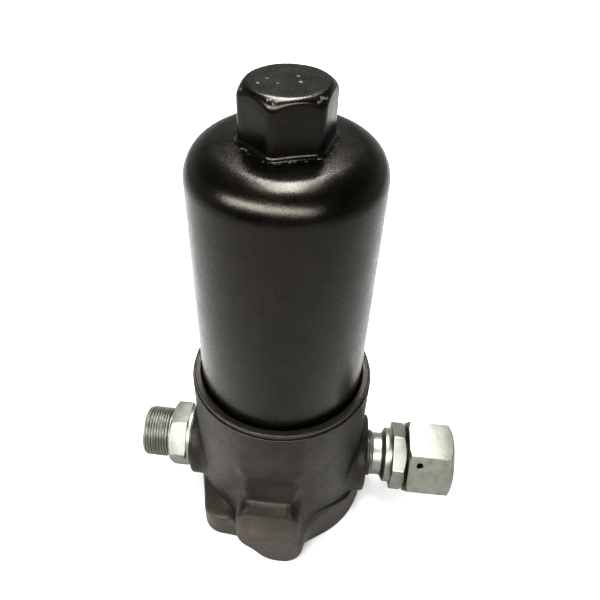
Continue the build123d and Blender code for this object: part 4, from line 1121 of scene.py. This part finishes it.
def along_x(points):
    return np.stack([points[:, 2], points[:, 0], PORT_HEIGHT + points[:, 1]], -1)


def upright(x, y):
    return lambda points: points + np.array([x, y, 0])


inlet_corners = [(16.5, -64), (16.5, -44), (12.5, -44), (12.5, -31)]
outlet_corners = [(12.5, 0), (12.5, 44), (16.5, 44), (16.5, 59.6), (18.2, 59.6), (18.2, 64)]
drills = [
    drill("inlet_port", inlet_corners, along_x),
    drill("riser", [(11.0, 23), (11.0, 55)], upright(-31, 0)),
    drill("outlet_port", outlet_corners, along_x),
    drill("bypass_bore", [(8.6, 34), (8.6, 55)], upright(29.5, 0)),
]
for x in (-BASE_HOLE_AT, BASE_HOLE_AT):
    for y in (-BASE_HOLE_AT, BASE_HOLE_AT):
        drills.append(drill("base_hole", [(3.4, -1), (3.4, 14)], upright(x, y), count=32))
cut(head, drills)
finish_piece(head, cast_black, "filter_head", "head")

# %% [markdown]
# ## Bypass spring
# The spring under the bypass valve is wound from wire. Its first and last turns lie nearly level, so that it
# stands flat. We sweep small rings along the winding and make a mesh of our own. A spring has to shorten as
# the valve opens, so we also work out the share of its height that the valve's stroke leaves, and its foot.

# %% Bypass spring
SPRING_RADIUS = 4.4
WIRE_RADIUS = 0.45
SPRING_TURNS = 5
LEVEL_TURNS = 0.7
LEVEL_RISE = 0.15
RINGS_PER_TURN = 30
WIRE_STEPS = 12
STROKE = 4.0


def make_spring():
    """Gives the coil, the share of its height left when the valve is open, and its foot."""
    low, high = (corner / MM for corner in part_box("bypass_spring"))
    foot, top = low.z + WIRE_RADIUS, high.z - WIRE_RADIUS
    middle = np.array([(low.x + high.x) / 2, (low.y + high.y) / 2, 0])
    around_wire = angles_from(0, WIRE_STEPS)
    rings = []
    for turn in np.linspace(0, SPRING_TURNS, RINGS_PER_TURN * SPRING_TURNS + 1):
        height = np.interp(turn, [0, LEVEL_TURNS, SPRING_TURNS - LEVEL_TURNS, SPRING_TURNS],
                           [foot, foot + LEVEL_RISE, top - LEVEL_RISE, top])
        angle = 2 * math.pi * turn
        out = np.array([math.cos(angle), math.sin(angle), 0])
        centre = middle + SPRING_RADIUS * out + np.array([0, 0, height])
        ring = centre + WIRE_RADIUS * (np.cos(around_wire)[:, None] * out
                                       + np.sin(around_wire)[:, None] * np.array([0, 0, 1.0]))
        if turn == 0:
            rings.append(np.broadcast_to(centre, ring.shape))
        rings.append(ring)
    rings.append(np.broadcast_to(centre, ring.shape))
    share_left = (high.z - low.z - STROKE) / (high.z - low.z)
    anchor = (middle[0] * MM, middle[1] * MM, low.z * MM)
    return skin("bypass_spring_coil", rings), share_left, anchor


spring, spring_share, spring_foot = make_spring()
finish_piece(spring, spring_wire, "bypass_spring", "head")
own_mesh(spring)
print("open valve leaves", round(spring_share, 3), "of the spring's height")

# %% [markdown]
# ## Finish for the CAD pieces that stay
# A CAD piece whose shape is right only needs a better finish. We put the new material in its slot and leave
# its mesh alone.

# %% Dress the CAD pieces
KEPT_PIECES = (
    (seal_rubber, ("bowl_o_ring", "element_o_ring", "outlet_seal_ring", "cone_o_ring")),
    (white_plastic, ("bowl_backup_ring",)),
    (sheet_steel, ("element_open_end_cap", "element_closed_end_cap", "element_core_tube",
                   "element_outer_sleeve")),
    (filter_medium, ("element_pleated_media",)),
    (turned_steel, ("bypass_valve_cage", "bypass_poppet", "bypass_spring_retainer")),
    (spring_wire, ("bypass_circlip", "swivel_retaining_wire")),
    (bright_zinc, ("inlet_seal_ring",)),
)


def dress(piece, material):
    for place in piece.material_slots:
        place.material = material
    if not piece.material_slots:
        piece.data.materials.append(material)


for material, nodes in KEPT_PIECES:
    for node in nodes:
        dress(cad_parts[node], material)
    print(material.name, "on", ", ".join(nodes))
